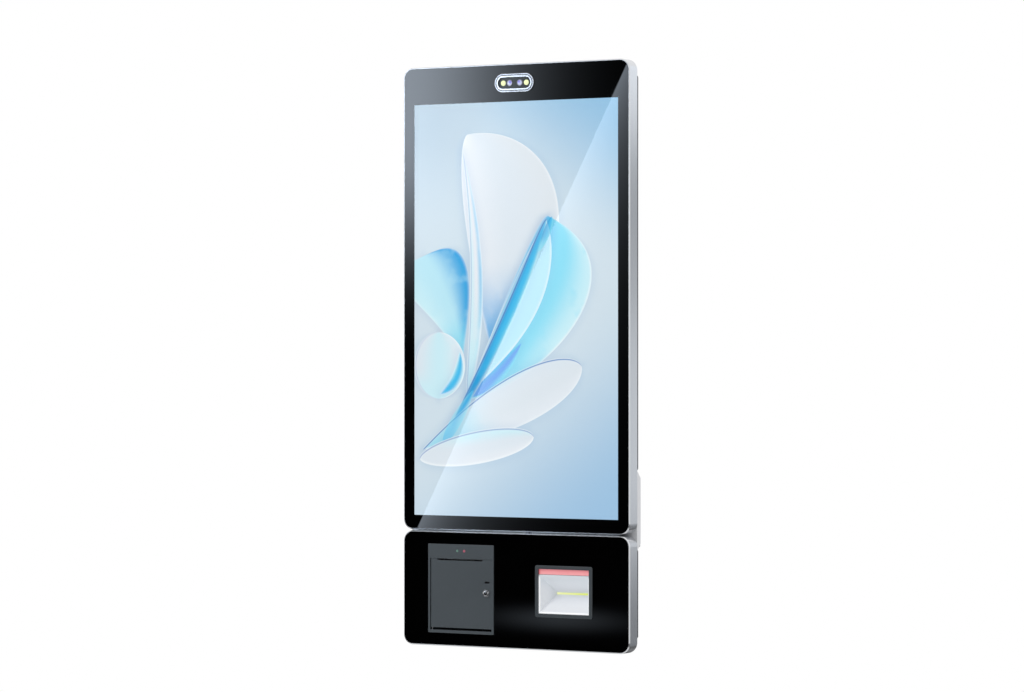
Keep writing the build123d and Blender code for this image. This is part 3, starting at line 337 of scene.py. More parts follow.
def display_picture():
    """The lit screen: a plain abstract picture of pale petals on soft blue, inside a dark surround."""
    material, tree, shader = blank("display_picture")
    x, _, z = place(tree)
    u, v = x - SCREEN.x, z - SCREEN.z
    pale, corner = screen_colour(211, 226, 236), screen_colour(172, 193, 208)
    high, low = screen_colour(150, 196, 229), screen_colour(160, 197, 228)
    picture = mix(tree, ramp(u * 0.6 + v, 0.18, 0.47), pale, high)
    picture = mix(tree, ramp(u * 0.8 - v, 0.09, 0.49), picture, low)
    picture = mix(tree, ramp(v, 0.10, 0.33) * ramp(u, -0.17, 0.0, 1.0, 0.0), picture, corner)
    white, mist, grey = (234, 239, 245), (224, 233, 241), (226, 233, 239)
    cyan, ice, sky = (132, 220, 243), (204, 240, 249), (66, 188, 238)
    aqua, frost, azure, blue = (160, 228, 246), (188, 233, 247), (20, 164, 230), (8, 160, 224)
    deep, violet = (10, 146, 210), (92, 142, 238)
    petals = [
        ((-0.106, -0.105), (-0.182, 0.092), (0.066, 0.062),
         0.017, (1.5, 0.26), (ice, frost, blue, cyan), 1, 0.3, 0),
        ((-0.032, -0.126), (-0.094, 0.297), (0.027, 0.154),
         0.0, (1.0, 0.52), (white, mist, grey, azure), 1, 0.6, 0),
        ((-0.096, -0.150), (-0.107, 0.272), (0.012, 0.013),
         0.023, (0.6, 1.0), (ice, white, sky, ice), 1, 0.7, 0.4),
        ((-0.094, -0.151), (0.061, 0.156), (0.012, 0.130),
         0.0, (0.8, 0.36), (sky, cyan, ice, cyan), 1, 0.6, 0),
        ((-0.092, -0.148), (0.010, -0.056), (0.008, 0.016),
         0.004, (0.8, 0.9), (sky, violet, cyan, violet), 0.8, 0, 0),
        ((-0.100, -0.151), (0.056, 0.150), (0.006, 0.056),
         0.0, (1.2, 0.8), (cyan, ice, ice, ice), 0.75, 0.9, 0.3),
        ((-0.127, -0.198), (0.057, 0.151), (0.011, 0.012),
         0.011, (0.6, 0.45), (deep, sky, cyan, deep), 1, 0.4, 0.8),
        ((0.042, 0.096), (0.068, 0.155), (0.005, 0.009),
         0.0, (0.8, 0.6), (deep, sky, cyan, cyan), 0.7, 0, 0),
        ((-0.152, -0.151), (-0.152, -0.038), (0.05, 0.05),
         0.002, (0.5, 0.5), (mist, ice, white, ice), 0.88, 0.9, 0.4),
        ((-0.150, -0.144), (-0.110, -0.071), (0.010, 0.012),
         0.015, (0.7, 0.7), (cyan, sky, ice, sky), 1, 0.6, 0),
        ((-0.185, -0.238), (0.124, -0.094), (0.041, 0.044),
         0.0, (1.0, 0.55), (mist, grey, white, aqua), 0.84, 0.8, 1),
        ((-0.144, -0.228), (-0.084, -0.136), (0.010, 0.011),
         0.0, (0.6, 0.8), (cyan, sky, cyan, sky), 0.55, 0, 0),
        ((-0.190, -0.253), (0.033, -0.213), (0.027, 0.028),
         0.0, (0.55, 0.5), (ice, mist, white, mist), 0.95, 0.9, 0.7),
    ]
    for look in petals:
        picture = petal(tree, picture, u, v, *look)
    bleed = 5 * MM
    lit = ramp(u.size(), SCREEN_WIDTH / 2 + bleed, SCREEN_WIDTH / 2 + bleed + MM, 1.0, 0.0)
    lit = lit * ramp(v.size(), SCREEN_HEIGHT / 2 + bleed, SCREEN_HEIGHT / 2 + bleed + MM, 1.0, 0.0)
    shown = mix(tree, lit, (0, 0, 0, 1), picture)
    shader.inputs["Base Color"].default_value = (0.004, 0.004, 0.005, 1)
    shader.inputs["Emission Strength"].default_value = 1.0
    plug(tree, shown, shader.inputs["Emission Color"])
    plug(tree, noise(tree, 3000, 1) * 0.05 + 0.35, shader.inputs["Roughness"])
    return material


def camera_ring():
    """The camera's chrome ring: bright rims, and between them a sunk groove darkened with painted shade."""
    material, tree, shader = blank("camera_ring")
    depth = place(tree)[1] * -1.0
    front = -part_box("camera_bezel")[0].y
    # rim is 1 on the rims and 0 down in the groove, whose dark base colour is painted shade
    rim = ramp(depth, front - 0.7 * MM, front - 0.2 * MM)
    cloud = noise(tree, 300, 2)
    plug(tree, mix(tree, rim, (0.15, 0.155, 0.17, 1), (0.74, 0.75, 0.79, 1)), shader.inputs["Base Color"])
    plug(tree, cloud * 0.06 + 0.16, shader.inputs["Roughness"])
    shader.inputs["Metallic"].default_value = 0.9
    return material


def powder_coat(name, colour, roughness=0.42):
    """Baked powder: an orange-peel skin a fraction of a millimetre across."""
    material, tree, shader = blank(name)
    skin = noise(tree, 1100, 1)
    slow = noise(tree, 9, 3)
    plug(tree, mix(tree, slow, scaled(colour, 0.9), scaled(colour, 1.12)), shader.inputs["Base Color"])
    plug(tree, skin * 0.12 + slow * 0.06 + roughness - 0.09, shader.inputs["Roughness"])
    bump(tree, shader, skin, 0.03 * MM, 0.7)
    return material


def flash_lens():
    """Tinted plastic with a lamp behind it, a little brighter in the middle of its clouds."""
    material, tree, shader = blank("flash_lens")
    colour, glow = (0.6, 0.66, 0.4, 1), screen_colour(244, 250, 190)
    cloud = noise(tree, 160, 2)
    plug(tree, mix(tree, cloud, scaled(colour, 0.9), scaled(colour, 1.05)), shader.inputs["Base Color"])
    plug(tree, mix(tree, cloud, scaled(glow, 0.88), scaled(glow, 1.06)), shader.inputs["Emission Color"])
    plug(tree, cloud * 0.08 + 0.25, shader.inputs["Roughness"])
    shader.inputs["Emission Strength"].default_value = 0.6
    return material


def scanner_mouth():
    """The scanner's white mouth, with painted light: a painted highlight at its lip, painted bluish shade on
    its upper half, painted shade towards the slit, and a faint painted glow over it all for its lamp's light.
    """
    material, tree, shader = blank("scanner_mouth")
    _, y, z = place(tree)
    depth = y * -1.0
    low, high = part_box("scanner_hopper")
    # Painted highlight: along the lip, but not along its top edge, the colour turns whiter and the glow
    # stronger
    lip = ramp(depth, -low.y - 0.4 * MM, -low.y - 0.1 * MM)
    lip = lip * ramp(z, high.z - 4 * MM, high.z - 2.5 * MM, 1.0, 0.0)
    # Painted shade: the walls darken towards the slit
    deep = ramp(depth, -high.y, -high.y + 22 * MM, 1.0, 0.0)
    # Painted shade: the upper half of the mouth turns a darker blue-grey
    upper_shade_mask = ramp(z, (low.z + high.z) / 2, high.z)
    cloud = noise(tree, 160, 2)
    body = mix(tree, cloud, (0.82, 0.835, 0.86, 1), (0.86, 0.875, 0.9, 1))
    body = mix(tree, upper_shade_mask * 0.55, body, (0.66, 0.73, 0.78, 1))
    body = mix(tree, deep * 0.5, body, (0.6, 0.62, 0.67, 1))
    plug(tree, mix(tree, lip, body, (0.95, 0.96, 0.97, 1)), shader.inputs["Base Color"])
    plug(tree, cloud * 0.08 + 0.28, shader.inputs["Roughness"])
    # The emission is painted light: a faint glow over the whole mouth, which is no lamp, stronger at the lip
    plug(tree, mix(tree, lip, scaled(screen_colour(214, 222, 232), 0.13), (0.3, 0.31, 0.32, 1)),
         shader.inputs["Emission Color"])
    shader.inputs["Emission Strength"].default_value = 1.0
    bump(tree, shader, cloud, 0.006 * MM)
    return material


def red_lamp():
    """The red lamp cover over the mouth: deeper at its left end and along its top, paler below."""
    material, tree, shader = blank("red_lamp")
    x, _, z = place(tree)
    low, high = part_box("scan_light_bar")
    end = ramp(x, low.x, low.x + 6 * MM, 1.0, 0.0)
    pale = ramp(z, low.z, high.z, 1.0, 0.0)
    cloud = noise(tree, 160, 2)
    glow = mix(tree, pale * 0.6, screen_colour(218, 128, 134), screen_colour(232, 184, 184))
    glow = mix(tree, end * 0.75, glow, screen_colour(190, 40, 56))
    plug(tree, mix(tree, cloud, (0.66, 0.22, 0.24, 1), (0.74, 0.28, 0.3, 1)), shader.inputs["Base Color"])
    plug(tree, glow, shader.inputs["Emission Color"])
    plug(tree, cloud * 0.08 + 0.25, shader.inputs["Roughness"])
    shader.inputs["Emission Strength"].default_value = 0.5
    return material


def reading_line():
    """The lit slit at the back of the mouth: yellow-green, paler at its left end."""
    material, tree, shader = blank("reading_line")
    x = place(tree)[0]
    low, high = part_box("scan_window")
    cloud = noise(tree, 160, 2)
    glow = mix(tree, ramp(x, low.x, high.x), screen_colour(232, 238, 176), screen_colour(214, 226, 118))
    plug(tree, mix(tree, cloud, (0.16, 0.18, 0.05, 1), (0.2, 0.22, 0.08, 1)), shader.inputs["Base Color"])
    plug(tree, glow, shader.inputs["Emission Color"])
    plug(tree, cloud * 0.08 + 0.2, shader.inputs["Roughness"])
    shader.inputs["Emission Strength"].default_value = 0.9
    return material


def status_lamps():
    """The two small domes over the printer door: green, faint, on the left, and red, lit, on the right."""
    material, tree, shader = blank("status_lamps")
    x = place(tree)[0]
    red = ramp(x, middle("status_leds").x - MM, middle("status_leds").x + MM)
    cloud = noise(tree, 900, 2)
    body = mix(tree, red, (0.05, 0.16, 0.12, 1), (0.35, 0.03, 0.07, 1))
    glow = mix(tree, red, (0.02, 0.07, 0.05, 1), (0.16, 0.012, 0.035, 1))
    plug(tree, mix(tree, cloud, body, (0.2, 0.2, 0.2, 1)), shader.inputs["Base Color"])
    plug(tree, glow, shader.inputs["Emission Color"])
    plug(tree, cloud * 0.1 + 0.15, shader.inputs["Roughness"])
    shader.inputs["Emission Strength"].default_value = 1.0
    return material


def circuit_board():
    """Lacquered board: copper runs under green, with tinned pads."""
    material, tree, shader = blank("circuit_board")
    source = tree.nodes.new("ShaderNodeTexCoord")
    tracks = tree.nodes.new("ShaderNodeTexVoronoi")
    tracks.distance = "MANHATTAN"
    tracks.feature = "DISTANCE_TO_EDGE"
    tracks.inputs["Scale"].default_value = 260
    tree.links.new(source.outputs["Object"], tracks.inputs["Vector"])
    edge = ramp(Number(tree, tracks.outputs[0]), 0.03, 0.09, 1.0, 0.0)
    pads = ramp(noise(tree, 420, 0), 0.68, 0.7)
    lacquer = mix(tree, edge, (0.006, 0.075, 0.03, 1), (0.02, 0.17, 0.06, 1))
    plug(tree, mix(tree, pads, lacquer, (0.55, 0.55, 0.5, 1)), shader.inputs["Base Color"])
    plug(tree, pads * 0.7, shader.inputs["Metallic"])
    plug(tree, noise(tree, 600, 1) * 0.1 + 0.25, shader.inputs["Roughness"])
    bump(tree, shader, edge + pads, 0.03 * MM)
    return material


def wound_paper():
    """A roll's ends: fine rings about its axis, each a layer of paper."""
    material, tree, shader = blank("wound_paper")
    _, y, z = place(tree)
    roll = middle("paper_roll")
    ring_rate = 9000.0
    rings = calc(tree, "SINE", distance(y - roll.y, z - roll.z) * ring_rate)
    cloud = noise(tree, 90, 3)
    plug(tree, mix(tree, cloud * 0.7 + rings * 0.1 + 0.1, (0.68, 0.68, 0.66, 1), (0.86, 0.86, 0.85, 1)),
         shader.inputs["Base Color"])
    plug(tree, cloud * 0.1 + 0.6, shader.inputs["Roughness"])
    bump(tree, shader, rings, 0.02 * MM)
    return material


def material_set():
    """The finish of each material slot of the record."""
    grey = screen_colour(76, 83, 88)
    return {
        "frame_aluminium": aluminium(),
        "front_glass": ink_glass(),
        "tape": finish("foam_tape", (0.012, 0.012, 0.013, 1), 0.85, grain=2200, depth=0.05),
        "pressed_steel": finish("zinc_plated_steel", (0.5, 0.51, 0.52, 1), 0.33, 1.0, 420, 0.004, 0.09, 0.14),
        "display_face": display_picture(),
        "light_guide": finish("acrylic_guide", (0.8, 0.83, 0.85, 1), 0.2, grain=1200, depth=0.004),
        "chrome_trim": finish("polished_chrome", (0.84, 0.85, 0.88, 1), 0.09, 1.0, 2400, 0.0008, 0.03, 0.04),
        "camera_cover": finish("tinted_cover", (0.02, 0.026, 0.026, 1), 0.1, grain=800, depth=0.0005),
        "lens_glass": finish("lens_barrel", (0.36, 0.37, 0.45, 1), 0.3, 0.6, 2600, 0.002),
        "flash_cover": flash_lens(),
        "black_plastic": finish("moulded_black", (0.014, 0.014, 0.016, 1), 0.42, grain=1900, depth=0.02),
        "circuit_board": circuit_board(),
        "cover_grey": powder_coat("cover_powder_coat", (0.045, 0.048, 0.052, 1)),
        "bracket_black": powder_coat("bracket_powder_coat", (0.016, 0.016, 0.017, 1), 0.5),
        "printer_grey": powder_coat("printer_satin_paint", grey, 0.38),
        "scanner_grey": finish("scanner_plastic", scaled(grey, 0.8), 0.36, grain=1700, depth=0.012),
        "hopper_white": scanner_mouth(),
        "camera_ring": camera_ring(),
        "lock_chrome": finish("satin_chrome", (0.8, 0.81, 0.84, 1), 0.2, 1.0, 1600, 0.002, 0.03, 0.06),
        "neck_aluminium": finish("bead_blasted", (0.78, 0.79, 0.81, 1), 0.42, 0.1, 2600, 0.006, 0.02, 0.06),
        "light_red": red_lamp(),
        "scan_glow": reading_line(),
        "led_lens": status_lamps(),
        "cable_black": finish("woven_sleeve", (0.012, 0.012, 0.012, 1), 0.7, grain=900, depth=0.15),
        "paper": wound_paper(),
        "card_core": finish("grey_card", (0.34, 0.24, 0.15, 1), 0.8, grain=700, depth=0.05, tone=0.1),
        "platen_rubber": finish("ground_rubber", (0.018, 0.018, 0.019, 1), 0.65, grain=2500, depth=0.02),
        "gear_white": finish("acetal", (0.76, 0.76, 0.72, 1), 0.35, grain=1200, depth=0.006, tone=0.03),
        "head_ceramic": finish("glazed_ceramic", (0.36, 0.31, 0.25, 1), 0.3, grain=1400, depth=0.004),
    }


# ------------------------------------------------------------------ shapes
def wall_parallel(mesh, depth):
    """Stands a mesh drawn in x and y up against the wall plane, with its z towards the front."""
    mesh.transform(Matrix.Translation((0, -depth, 0)) @ Matrix.Rotation(math.pi / 2, 4, "X"))


def solid(name, mesh, body, slot, *materials):
    """An object of the scene that rides on a body and takes the materials it is given; its slot is not used.
    """
    piece = bpy.data.objects.new(name, mesh)
    bpy.context.scene.collection.objects.link(piece)
    for material in materials:
        mesh.materials.append(material)
    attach(piece, body)
    return piece


def rounded(width, height, radius, x=0.0, z=0.0, steps=16):
    """The outline of a rounded rectangle, as points."""
    points = []
    for quarter in range(4):
        start = quarter * math.pi / 2
        centre_x = x + (width / 2 - radius) * (1 if quarter in (0, 3) else -1)
        centre_z = z + (height / 2 - radius) * (1 if quarter in (0, 1) else -1)
        for step in range(steps + 1):
            angle = start + step * math.pi / 2 / steps
            points.append((centre_x + radius * math.cos(angle), centre_z + radius * math.sin(angle)))
    return points


def plate_mesh(name, loops, back, front, bevel):
    """A flat plate with holes between two depths: the first loop is its outline, the rest are holes."""
    curve = bpy.data.curves.new(name, "CURVE")
    curve.dimensions = "2D"
    curve.fill_mode = "BOTH"
    curve.extrude = (front - back) / 2 - bevel
    curve.bevel_depth = bevel
    curve.bevel_resolution = 2
    curve.offset = -bevel
    for loop in loops:
        spline = curve.splines.new("POLY")
        spline.points.add(len(loop) - 1)
        for point, (x, z) in zip(spline.points, loop):
            point.co = (x, z, 0, 1)
        spline.use_cyclic_u = True
    holder = bpy.data.objects.new(name, curve)
    mesh = bpy.data.meshes.new_from_object(holder)
    bpy.data.objects.remove(holder)
    wall_parallel(mesh, (front + back) / 2)
    work = bmesh.new()
    work.from_mesh(mesh)
    bmesh.ops.remove_doubles(work, verts=work.verts, dist=1e-6)
    bmesh.ops.recalc_face_normals(work, faces=work.faces)
    work.to_mesh(mesh)
    work.free()
    return mesh


def domed(radius, rise, front):
    """The profile of a dome, from its foot up its quarter round to its top at front."""
    steps = 8
    points = []
    for step in range(steps):
        angle = step * math.pi / 2 / steps
        points.append((radius * math.cos(angle), front - rise + rise * math.sin(angle)))
    return points + [(0, front)]


def turned_mesh(name, profile, centres):
    """Turned solids square to the wall, one at each (x, z). The profile is (radius, depth) from the back."""
    steps = 40
    work = bmesh.new()
    for x, z in centres:
        rings = []
        for radius, depth in profile:
            count = 1 if radius == 0 else steps
            rings.append([
                work.verts.new((
                    x + radius * math.cos(2 * math.pi * i / count),
                    -depth,
                    z + radius * math.sin(2 * math.pi * i / count),
                ))
                for i in range(count)
            ])
        for inner, outer in zip(rings, rings[1:]):
            for i in range(steps):
                corners = [
                    inner[i % len(inner)],
                    inner[(i + 1) % len(inner)],
                    outer[(i + 1) % len(outer)],
                    outer[i % len(outer)],
                ]
                unique = list(dict.fromkeys(corners))
                if len(unique) > 2:
                    work.faces.new(unique)
        for ring in (rings[0], rings[-1]):
            if len(ring) > 2:
                work.faces.new(ring)
    bmesh.ops.recalc_face_normals(work, faces=work.faces)
    for face in work.faces:
        face.smooth = len(face.verts) < 5
    mesh = bpy.data.meshes.new(name)
    work.to_mesh(mesh)
    work.free()
    return mesh


# ------------------------------------------------------------------ pieces
def front_glass(materials):
    """The touch glass: a black printed border with the camera's hole, round a clear window."""
    size, centre = extent("touch_glass"), middle("touch_glass")
    cut = extent("camera_bezel")
    rim_x, rim_z = 5.5 * MM, 5.4 * MM
    bevel, inset, sharp = 0.2 * MM, 0.02 * MM, 0.3 * MM
    outer = rounded(size.x, size.z, GLASS_RADIUS, centre.x, centre.z)
    window = rounded(SCREEN_WIDTH, SCREEN_HEIGHT, sharp, SCREEN.x, SCREEN.z, 2)
    hole = rounded(cut.x - rim_x, cut.z - rim_z, cut.z / 2 - rim_z / 2, 0, CAMERA_Z)
    step = GLASS_FRONT - 0.5 * MM
    mesh = plate_mesh("glass_face", [outer, window, hole], step, GLASS_FRONT, bevel)
    face = solid("glass_face", mesh, "kiosk", "front_glass", materials["front_glass"])
    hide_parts("touch_glass")
    clear = rounded(SCREEN_WIDTH + 8 * MM, SCREEN_HEIGHT + 6 * MM, sharp, SCREEN.x, SCREEN.z, 2)
    mesh = plate_mesh("glass_body", [outer, clear, hole], GLASS_BACK, step + 0.1 * MM, bevel)
    body = solid("glass_body", mesh, "kiosk", "front_glass", materials["front_glass"])
    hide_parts("touch_glass")
    pane = plate_mesh(
        "glass_window",
        [rounded(SCREEN_WIDTH + 0.4 * MM, SCREEN_HEIGHT + 0.4 * MM, 0.4 * MM, SCREEN.x, SCREEN.z, 2)],
        GLASS_BACK + inset,
        GLASS_FRONT - inset,
        0.01 * MM,
    )
    piece = solid("glass_window", pane, "kiosk", "front_glass", clear_glass(), glass_back())
    for polygon in pane.polygons:
        polygon.material_index = 0 if polygon.normal.y < -0.5 else 1
    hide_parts("touch_glass")


def camera_optics(materials):
    """Two lenses in stepped barrels, their domes coloured with a painted reflection, and two flash lamps
    under low domes.
    """
    lenses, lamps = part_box("camera_lenses"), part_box("flash_leds")
    lens_radius = extent("camera_lenses").z / 2
    lamp_radius = extent("flash_leds").z / 2
    lens_x = lenses[1].x - lens_radius
    lamp_x = lamps[1].x - lamp_radius
    front = -lenses[0].y
    back = -lenses[1].y
    places = [(-lens_x, CAMERA_Z), (lens_x, CAMERA_Z)]
    lip, well = 0.5 * MM, 1.1 * MM
    barrel = [
        (0, back),
        (lens_radius, back),
        (lens_radius, front - lip),
        (lens_radius - 0.3 * MM, front),
        (lens_radius - lip, front),
        (lens_radius - 1.3 * MM, front - 0.6 * MM),
        (lens_radius - 2.4 * MM, front - well),
        (0, front - well),
    ]
    piece = solid("lens_barrels", turned_mesh("lens_barrels", barrel, places), "kiosk", "lens_glass",
                  materials["lens_glass"])
    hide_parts("camera_lenses")
    dome_radius = lens_radius - lip
    dome_rise, sunk = 0.9 * MM, 0.15 * MM
    dome = [(0, front - sunk - dome_rise)] + domed(dome_radius, dome_rise, front - sunk)
    # The domes' violet is painted reflection: deep violet at a spot up and in from each lens's middle, paler
    # round it
    glass, tree, shader = blank("lens_painted_reflection")
    x, _, z = place(tree)
    glint_in, glint_up = 1.2 * MM, 1.4 * MM
    off_x = x.size() - (lens_x - glint_in)
    off_z = z - (CAMERA_Z + glint_up)
    deep_violet, pale_violet = (0.17, 0.15, 0.62, 1), (0.46, 0.5, 0.68, 1)
    violet = mix(tree, ramp(distance(off_x, off_z), 0.0006, 0.0045), deep_violet, pale_violet)
    painted_reflection_colour = mix(tree, noise(tree, 500, 1) * 0.3, violet, (0.7, 0.75, 0.85, 1))
    plug(tree, painted_reflection_colour, shader.inputs["Base Color"])
    plug(tree, noise(tree, 900, 1) * 0.05 + 0.04, shader.inputs["Roughness"])
    shader.inputs["Coat Weight"].default_value = 1.0
    # The violet glow is painted reflection too: the lens is no lamp
    plug(tree, violet, shader.inputs["Emission Color"])
    shader.inputs["Emission Strength"].default_value = 0.5
    solid("lens_domes", turned_mesh("lens_domes", dome, places), "kiosk", "lens_glass", glass)
    lamp_front = -lamps[0].y
    lamp_radius -= 0.3 * MM
    bowl = [(0, back), (lamp_radius, back)] + domed(lamp_radius, dome_rise, lamp_front)
    places = [(-lamp_x, CAMERA_Z), (lamp_x, CAMERA_Z)]
    lamp = solid("flash_domes", turned_mesh("flash_domes", bowl, places), "kiosk", "flash_cover",
                 materials["flash_cover"])
    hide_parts("flash_leds")


def lock_face(materials):
    """The lock's turning plug: a low polished dome with a keyway across it, drawn as a black piece that is
    painted shade for the slot.

    It keeps its full radius to its back, so behind the barrel's face it cuts into the barrel's wall.
    """
    low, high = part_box("lock_plug")
    centre = (low + high) / 2
    radius = (high.z - low.z) / 2
    front, back = -low.y, -high.y
    rise = 1.5 * MM
    profile = [(0, back), (radius, back)] + domed(radius, rise, front)
    mesh = turned_mesh("lock_dome", profile, [(centre.x, centre.z)])
    dome = solid("lock_dome", mesh, "lock_core", "chrome_trim", materials["lock_chrome"])
    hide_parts("lock_plug")
    # The keyway is no cut: a black piece set into the dome stands for the slot's depth as painted shade
    slot = rounded(1.3 * MM, 5 * MM, 0.6 * MM, centre.x, centre.z, 6)
    mesh = plate_mesh("lock_keyway_painted_shade", [slot], front - 1.6 * MM, front - 0.02 * MM, 0.1 * MM)
    solid("lock_keyway_painted_shade", mesh, "lock_core", "chrome_trim", materials["black_plastic"])


def scanner_funnel(materials):
    """The scanner's white mouth: a flat lip, then walls that flare from the reading slit."""
    low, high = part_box("scanner_hopper")
    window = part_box("scan_window")
    lip = 1.1 * MM
    wall = 1.0 * MM
    centre = (low + high) / 2
    slit_half = Vector((32 * MM, 0, 2.5 * MM))
    slit_z = (window[0].z + window[1].z) / 2
    front, back = -low.y, -high.y
    mouth_half = (high - low) / 2 - Vector((lip, 0, lip))
    rings = [((high.x - low.x) / 2, (high.z - low.z) / 2, centre.z, front)]
    rings.append((mouth_half.x, mouth_half.z, centre.z, front))
    steps, side_flare, height_flare = 14, 1.35, 1.12
    for step in range(1, steps + 1):
        t = step / steps
        narrow = 1 - (1 - t) ** side_flare
        flatten = 1 - (1 - t) ** height_flare
        half_x = mouth_half.x + (slit_half.x - mouth_half.x) * narrow
        half_z = mouth_half.z + (slit_half.z - mouth_half.z) * flatten
        rings.append((half_x, half_z, centre.z + (slit_z - centre.z) * flatten, front + (back - front) * t))
    work = bmesh.new()
    spans = 10
    loops = []
    corners = [(-1, -1), (1, -1), (1, 1), (-1, 1)]
    for half_x, half_z, middle_z, depth in rings:
        loop = []
        for (x0, z0), (x1, z1) in zip(corners, corners[1:] + corners[:1]):
            for span in range(spans):
                share = span / spans
                x = centre.x + half_x * (x0 + (x1 - x0) * share)
                z = middle_z + half_z * (z0 + (z1 - z0) * share)
                loop.append(work.verts.new((x, -depth, z)))
        loops.append(loop)
    for outer, inner in zip(loops, loops[1:]):
        for i in range(len(outer)):
            after = (i + 1) % len(outer)
            work.faces.new([outer[i], inner[i], inner[after], outer[after]])
    work.normal_update()
    mesh = bpy.data.meshes.new("scanner_funnel")
    work.to_mesh(mesh)
    work.free()
    piece = solid("scanner_funnel", mesh, "kiosk", "hopper_white", materials["hopper_white"])
    skin = piece.modifiers.new("wall", "SOLIDIFY")
    skin.thickness = wall
    skin.offset = -1
    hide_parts("scanner_hopper")


# Nodes with a finish of their own, closer than that of their material slot
SPECIAL_FINISH = {
    "camera_bezel": "camera_ring",
    "lock_barrel": "lock_chrome",
    "lock_plug": "lock_chrome",
    "neck_bracket": "neck_aluminium",
}


def dress_frame(materials):
    """Gives every CAD node the finish of its material slot, or a closer one of its own."""
    for part in frame["record"]["subparts"]:
        node = part["node"]
        mesh = nodes[node].data
        mesh.materials.clear()
        mesh.materials.append(materials[SPECIAL_FINISH.get(node, part["material_slot"])])


# ------------------------------------------------------------------ stage
EYE = Vector((2.9821, -5.3336, -0.130))
VIEW_AZIMUTH = math.radians(29.64)


def add_camera():
    """The camera at the photograph's viewing angle, level and with a long lens."""
    data = bpy.data.cameras.new("camera")
    data.sensor_width = 36.0
    data.lens = 126.42
    data.shift_y = 0.0064
    data.clip_end = 100
    camera = bpy.data.objects.new("camera", data)
    camera.location = EYE
    ahead = Vector((-math.sin(VIEW_AZIMUTH), math.cos(VIEW_AZIMUTH), 0))
    camera.rotation_mode = "QUATERNION"
    camera.rotation_quaternion = ahead.to_track_quat("-Z", "Y")
    bpy.context.scene.collection.objects.link(camera)
    bpy.context.scene.camera = camera


def add_world():
    """A white studio: soft light all round, and a dark room in front for the polished glass to mirror."""
    world = bpy.data.worlds.new("studio")
    bpy.context.scene.world = world
    world.use_nodes = True
    tree = world.node_tree
    background = tree.nodes["Background"]
    path = tree.nodes.new("ShaderNodeLightPath")
    source = tree.nodes.new("ShaderNodeTexCoord")
    split = tree.nodes.new("ShaderNodeSeparateXYZ")
    tree.links.new(source.outputs["Generated"], split.inputs[0])
    ahead = Number(tree, split.outputs[1])
    up = Number(tree, split.outputs[2])
    right = Number(tree, split.outputs[0])
    # Reflections see a bright room behind the kiosk and far to its right, shaded by height
    open_side = (ramp(ahead, -0.60, -0.40) + ramp(ahead, -0.80, -0.64) * 0.1 + ramp(right, 0.5, 0.8)).held()
    shelf = ramp(up, -0.24, -0.06, 0.12, 0.9) + ramp(up, -0.62, -0.46, 0.6, 0.0)
    mirrored = open_side * shelf
    seen = Number(tree, path.outputs["Is Camera Ray"])
    glossy = Number(tree, path.outputs["Is Glossy Ray"])
    ambient = 0.62
    strength = glossy * mirrored + (1.0 - glossy) * ambient
    plug(tree, seen + (1.0 - seen) * strength, background.inputs["Strength"])
    background.inputs["Color"].default_value = (1, 1, 1, 1)


def flat_sheet(name, corners, material):
    """One flat face that belongs to the stage."""
    mesh = bpy.data.meshes.new(name)
    mesh.from_pydata(corners, [], [range(len(corners))])
    mesh.materials.append(material)
    sheet = bpy.data.objects.new(name, mesh)
    bpy.context.scene.collection.objects.link(sheet)
    return sheet


def glow_sheet(name, radiance_of, tint):
    """A material that gives out tinted light by a formula over its sheet's own x, y and z."""
    material, tree, shader = blank(name)
    tree.nodes.remove(shader)
    light = tree.nodes.new("ShaderNodeEmission")
    plug(tree, radiance_of(*place(tree)), light.inputs["Strength"])
    plug(tree, mix(tree, noise(tree, 3, 2), scaled(tint, 0.98), scaled(tint, 1.02)), light.inputs["Color"])
    tree.links.new(light.outputs[0], tree.nodes["Material Output"].inputs["Surface"])
    return material


def mirror_card(name, plane_axis, plane_at, reach, corners, radiance_of, tint):
    """A light card that only reflections show, drawn as it looks in one mirror plane from the camera.

    Its corners and its formula are in the mirror's own coordinates. The card is that drawing thrown out
    from the camera's mirror image, reach times as far as the mirror.
    """
    image = EYE.copy()
    image[plane_axis] = 2 * plane_at - EYE[plane_axis]
    card = flat_sheet(name, corners, glow_sheet(name, radiance_of, tint))
    card.location = image * (1 - reach)
    card.scale = (reach, reach, reach)
    card.visible_camera = False
    card.visible_diffuse = False
    card.visible_shadow = False
    card.visible_transmission = False
    card.visible_volume_scatter = False


def front_glare(x, _y, z):
    """What the front glass mirrors: a window's glow at the top left, a slanting sheet of light, a low bar."""
    glass_gloss = 0.0415
    corner_peak, slant_peak, bar_peak = 0.29, 0.16, 0.024
    left = (x + 0.230) / 0.185
    below = (0.280 - z).at_least(0.0) / 0.205
    corner = bell(left) * (below**2.6 * -1.0).exp() * corner_peak
    past_edge = (x - 0.2093) * 0.8871 + (z - 0.3396) * -0.4615
    slant = (past_edge / -0.054).exp() * slant_peak * ramp(past_edge, -0.0008, 0.0008)
    height = (z + 0.575) / 0.017
    wide = (x - 0.085) / 0.105
    bar = bell(height) * bell(wide) * bar_peak
    upper = ramp(z, -0.4325, -0.4320)
    return ((corner + slant) * upper + bar) * (1 / glass_gloss)


def side_sheen(_x, _y, z):
    """What the right side mirrors: bright at the top, a dip at chest height, mid grey below."""
    high = ramp(z, 0.12, 0.36, 0.0, 0.55)
    low = ramp(z, -0.20, 0.08, 0.24, 0.0)
    foot = ramp(z, -0.60, -0.34, 0.41, 0.0)
    return high + low - foot + 0.40


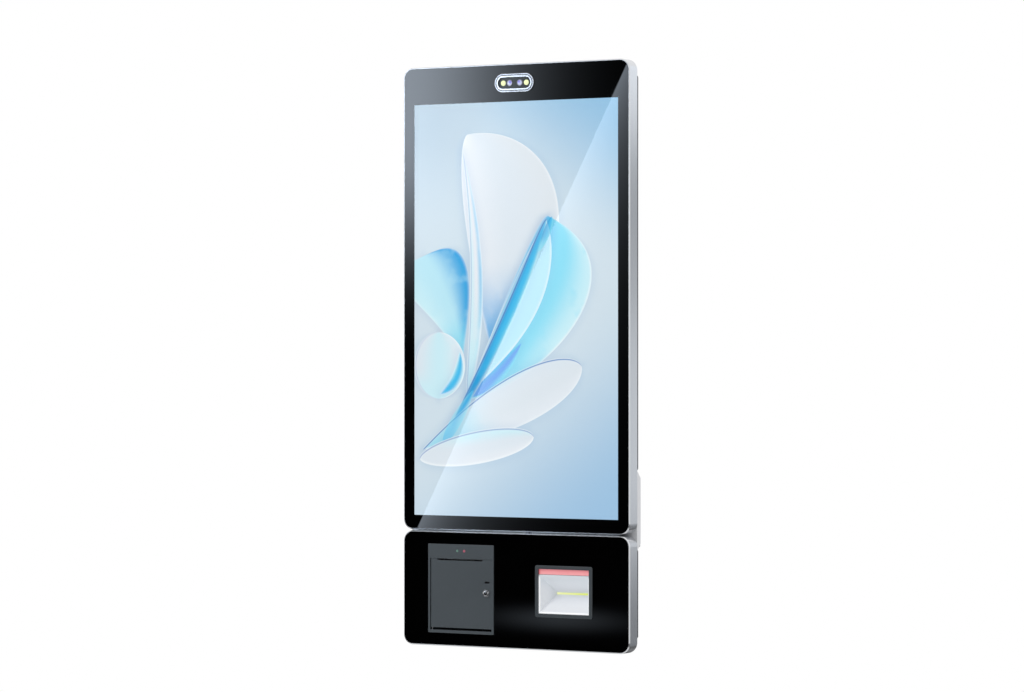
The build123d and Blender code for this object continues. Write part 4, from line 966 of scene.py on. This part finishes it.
def add_cards():
    """The two cards, one mirrored by the front glass and one by the right side."""
    front_reach, side_reach = 1.476, 1.15
    front = -GLASS_FRONT
    corners = [(-0.32, front, -0.68), (0.32, front, -0.68), (0.32, front, 0.46), (-0.32, front, 0.46)]
    mirror_card("front_card", 1, front, front_reach, corners, front_glare, (0.87, 0.99, 1.14, 1))
    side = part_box("upper_frame")[1].x
    corners = [(side, -0.6, -0.9), (side, 0.5, -0.9), (side, 0.5, 0.7), (side, -0.6, 0.7)]
    mirror_card("side_card", 0, side, side_reach, corners, side_sheen, (0.96, 1.0, 1.05, 1))


def add_lamp(name, place_at, aim_at, size, power):
    """A round soft lamp that lights the kiosk and shows in no reflection."""
    data = bpy.data.lights.new(name, "AREA")
    data.shape = "DISK"
    data.size = size
    data.energy = power
    lamp = bpy.data.objects.new(name, data)
    lamp.location = place_at
    lamp.rotation_mode = "QUATERNION"
    lamp.rotation_quaternion = (Vector(aim_at) - Vector(place_at)).to_track_quat("-Z", "Y")
    lamp.visible_glossy = False
    lamp.visible_camera = False
    bpy.context.scene.collection.objects.link(lamp)


def add_floor():
    """A pale round floor that fades into the studio's white."""
    level, reach, sides = -1.1, 2.9, 64
    material, tree, shader = blank("studio_floor")
    x, y, _ = place(tree)
    radius = distance(x, y)
    cloud = noise(tree, 3, 3)
    plug(tree, mix(tree, cloud, (0.86, 0.86, 0.87, 1), (0.9, 0.9, 0.9, 1)), shader.inputs["Base Color"])
    shader.inputs["Roughness"].default_value = 0.8
    clear = tree.nodes.new("ShaderNodeBsdfTransparent")
    both = tree.nodes.new("ShaderNodeMixShader")
    plug(tree, ramp(radius, 0.8, reach), both.inputs[0])
    tree.links.new(shader.outputs[0], both.inputs[1])
    tree.links.new(clear.outputs[0], both.inputs[2])
    tree.links.new(both.outputs[0], tree.nodes["Material Output"].inputs["Surface"])
    angles = [2 * math.pi * i / sides for i in range(sides)]
    corners = [(reach * math.cos(angle), reach * math.sin(angle), level) for angle in angles]
    floor = flat_sheet("floor", corners, material)
    floor.visible_glossy = False


# ------------------------------------------------------------------ the scene
add_camera()
add_world()
add_floor()
add_cards()
add_lamp("key_light", (-2.2, -3.4, 2.4), (0, 0, -0.1), 2.2, 60)
add_lamp("fill_light", (3.2, 2.4, 1.6), (0, 0, -0.2), 2.4, 45)

finishes = material_set()
dress_frame(finishes)
front_glass(finishes)
camera_optics(finishes)
lock_face(finishes)
scanner_funnel(finishes)

view = bpy.context.scene.view_settings
view.view_transform = "Standard"
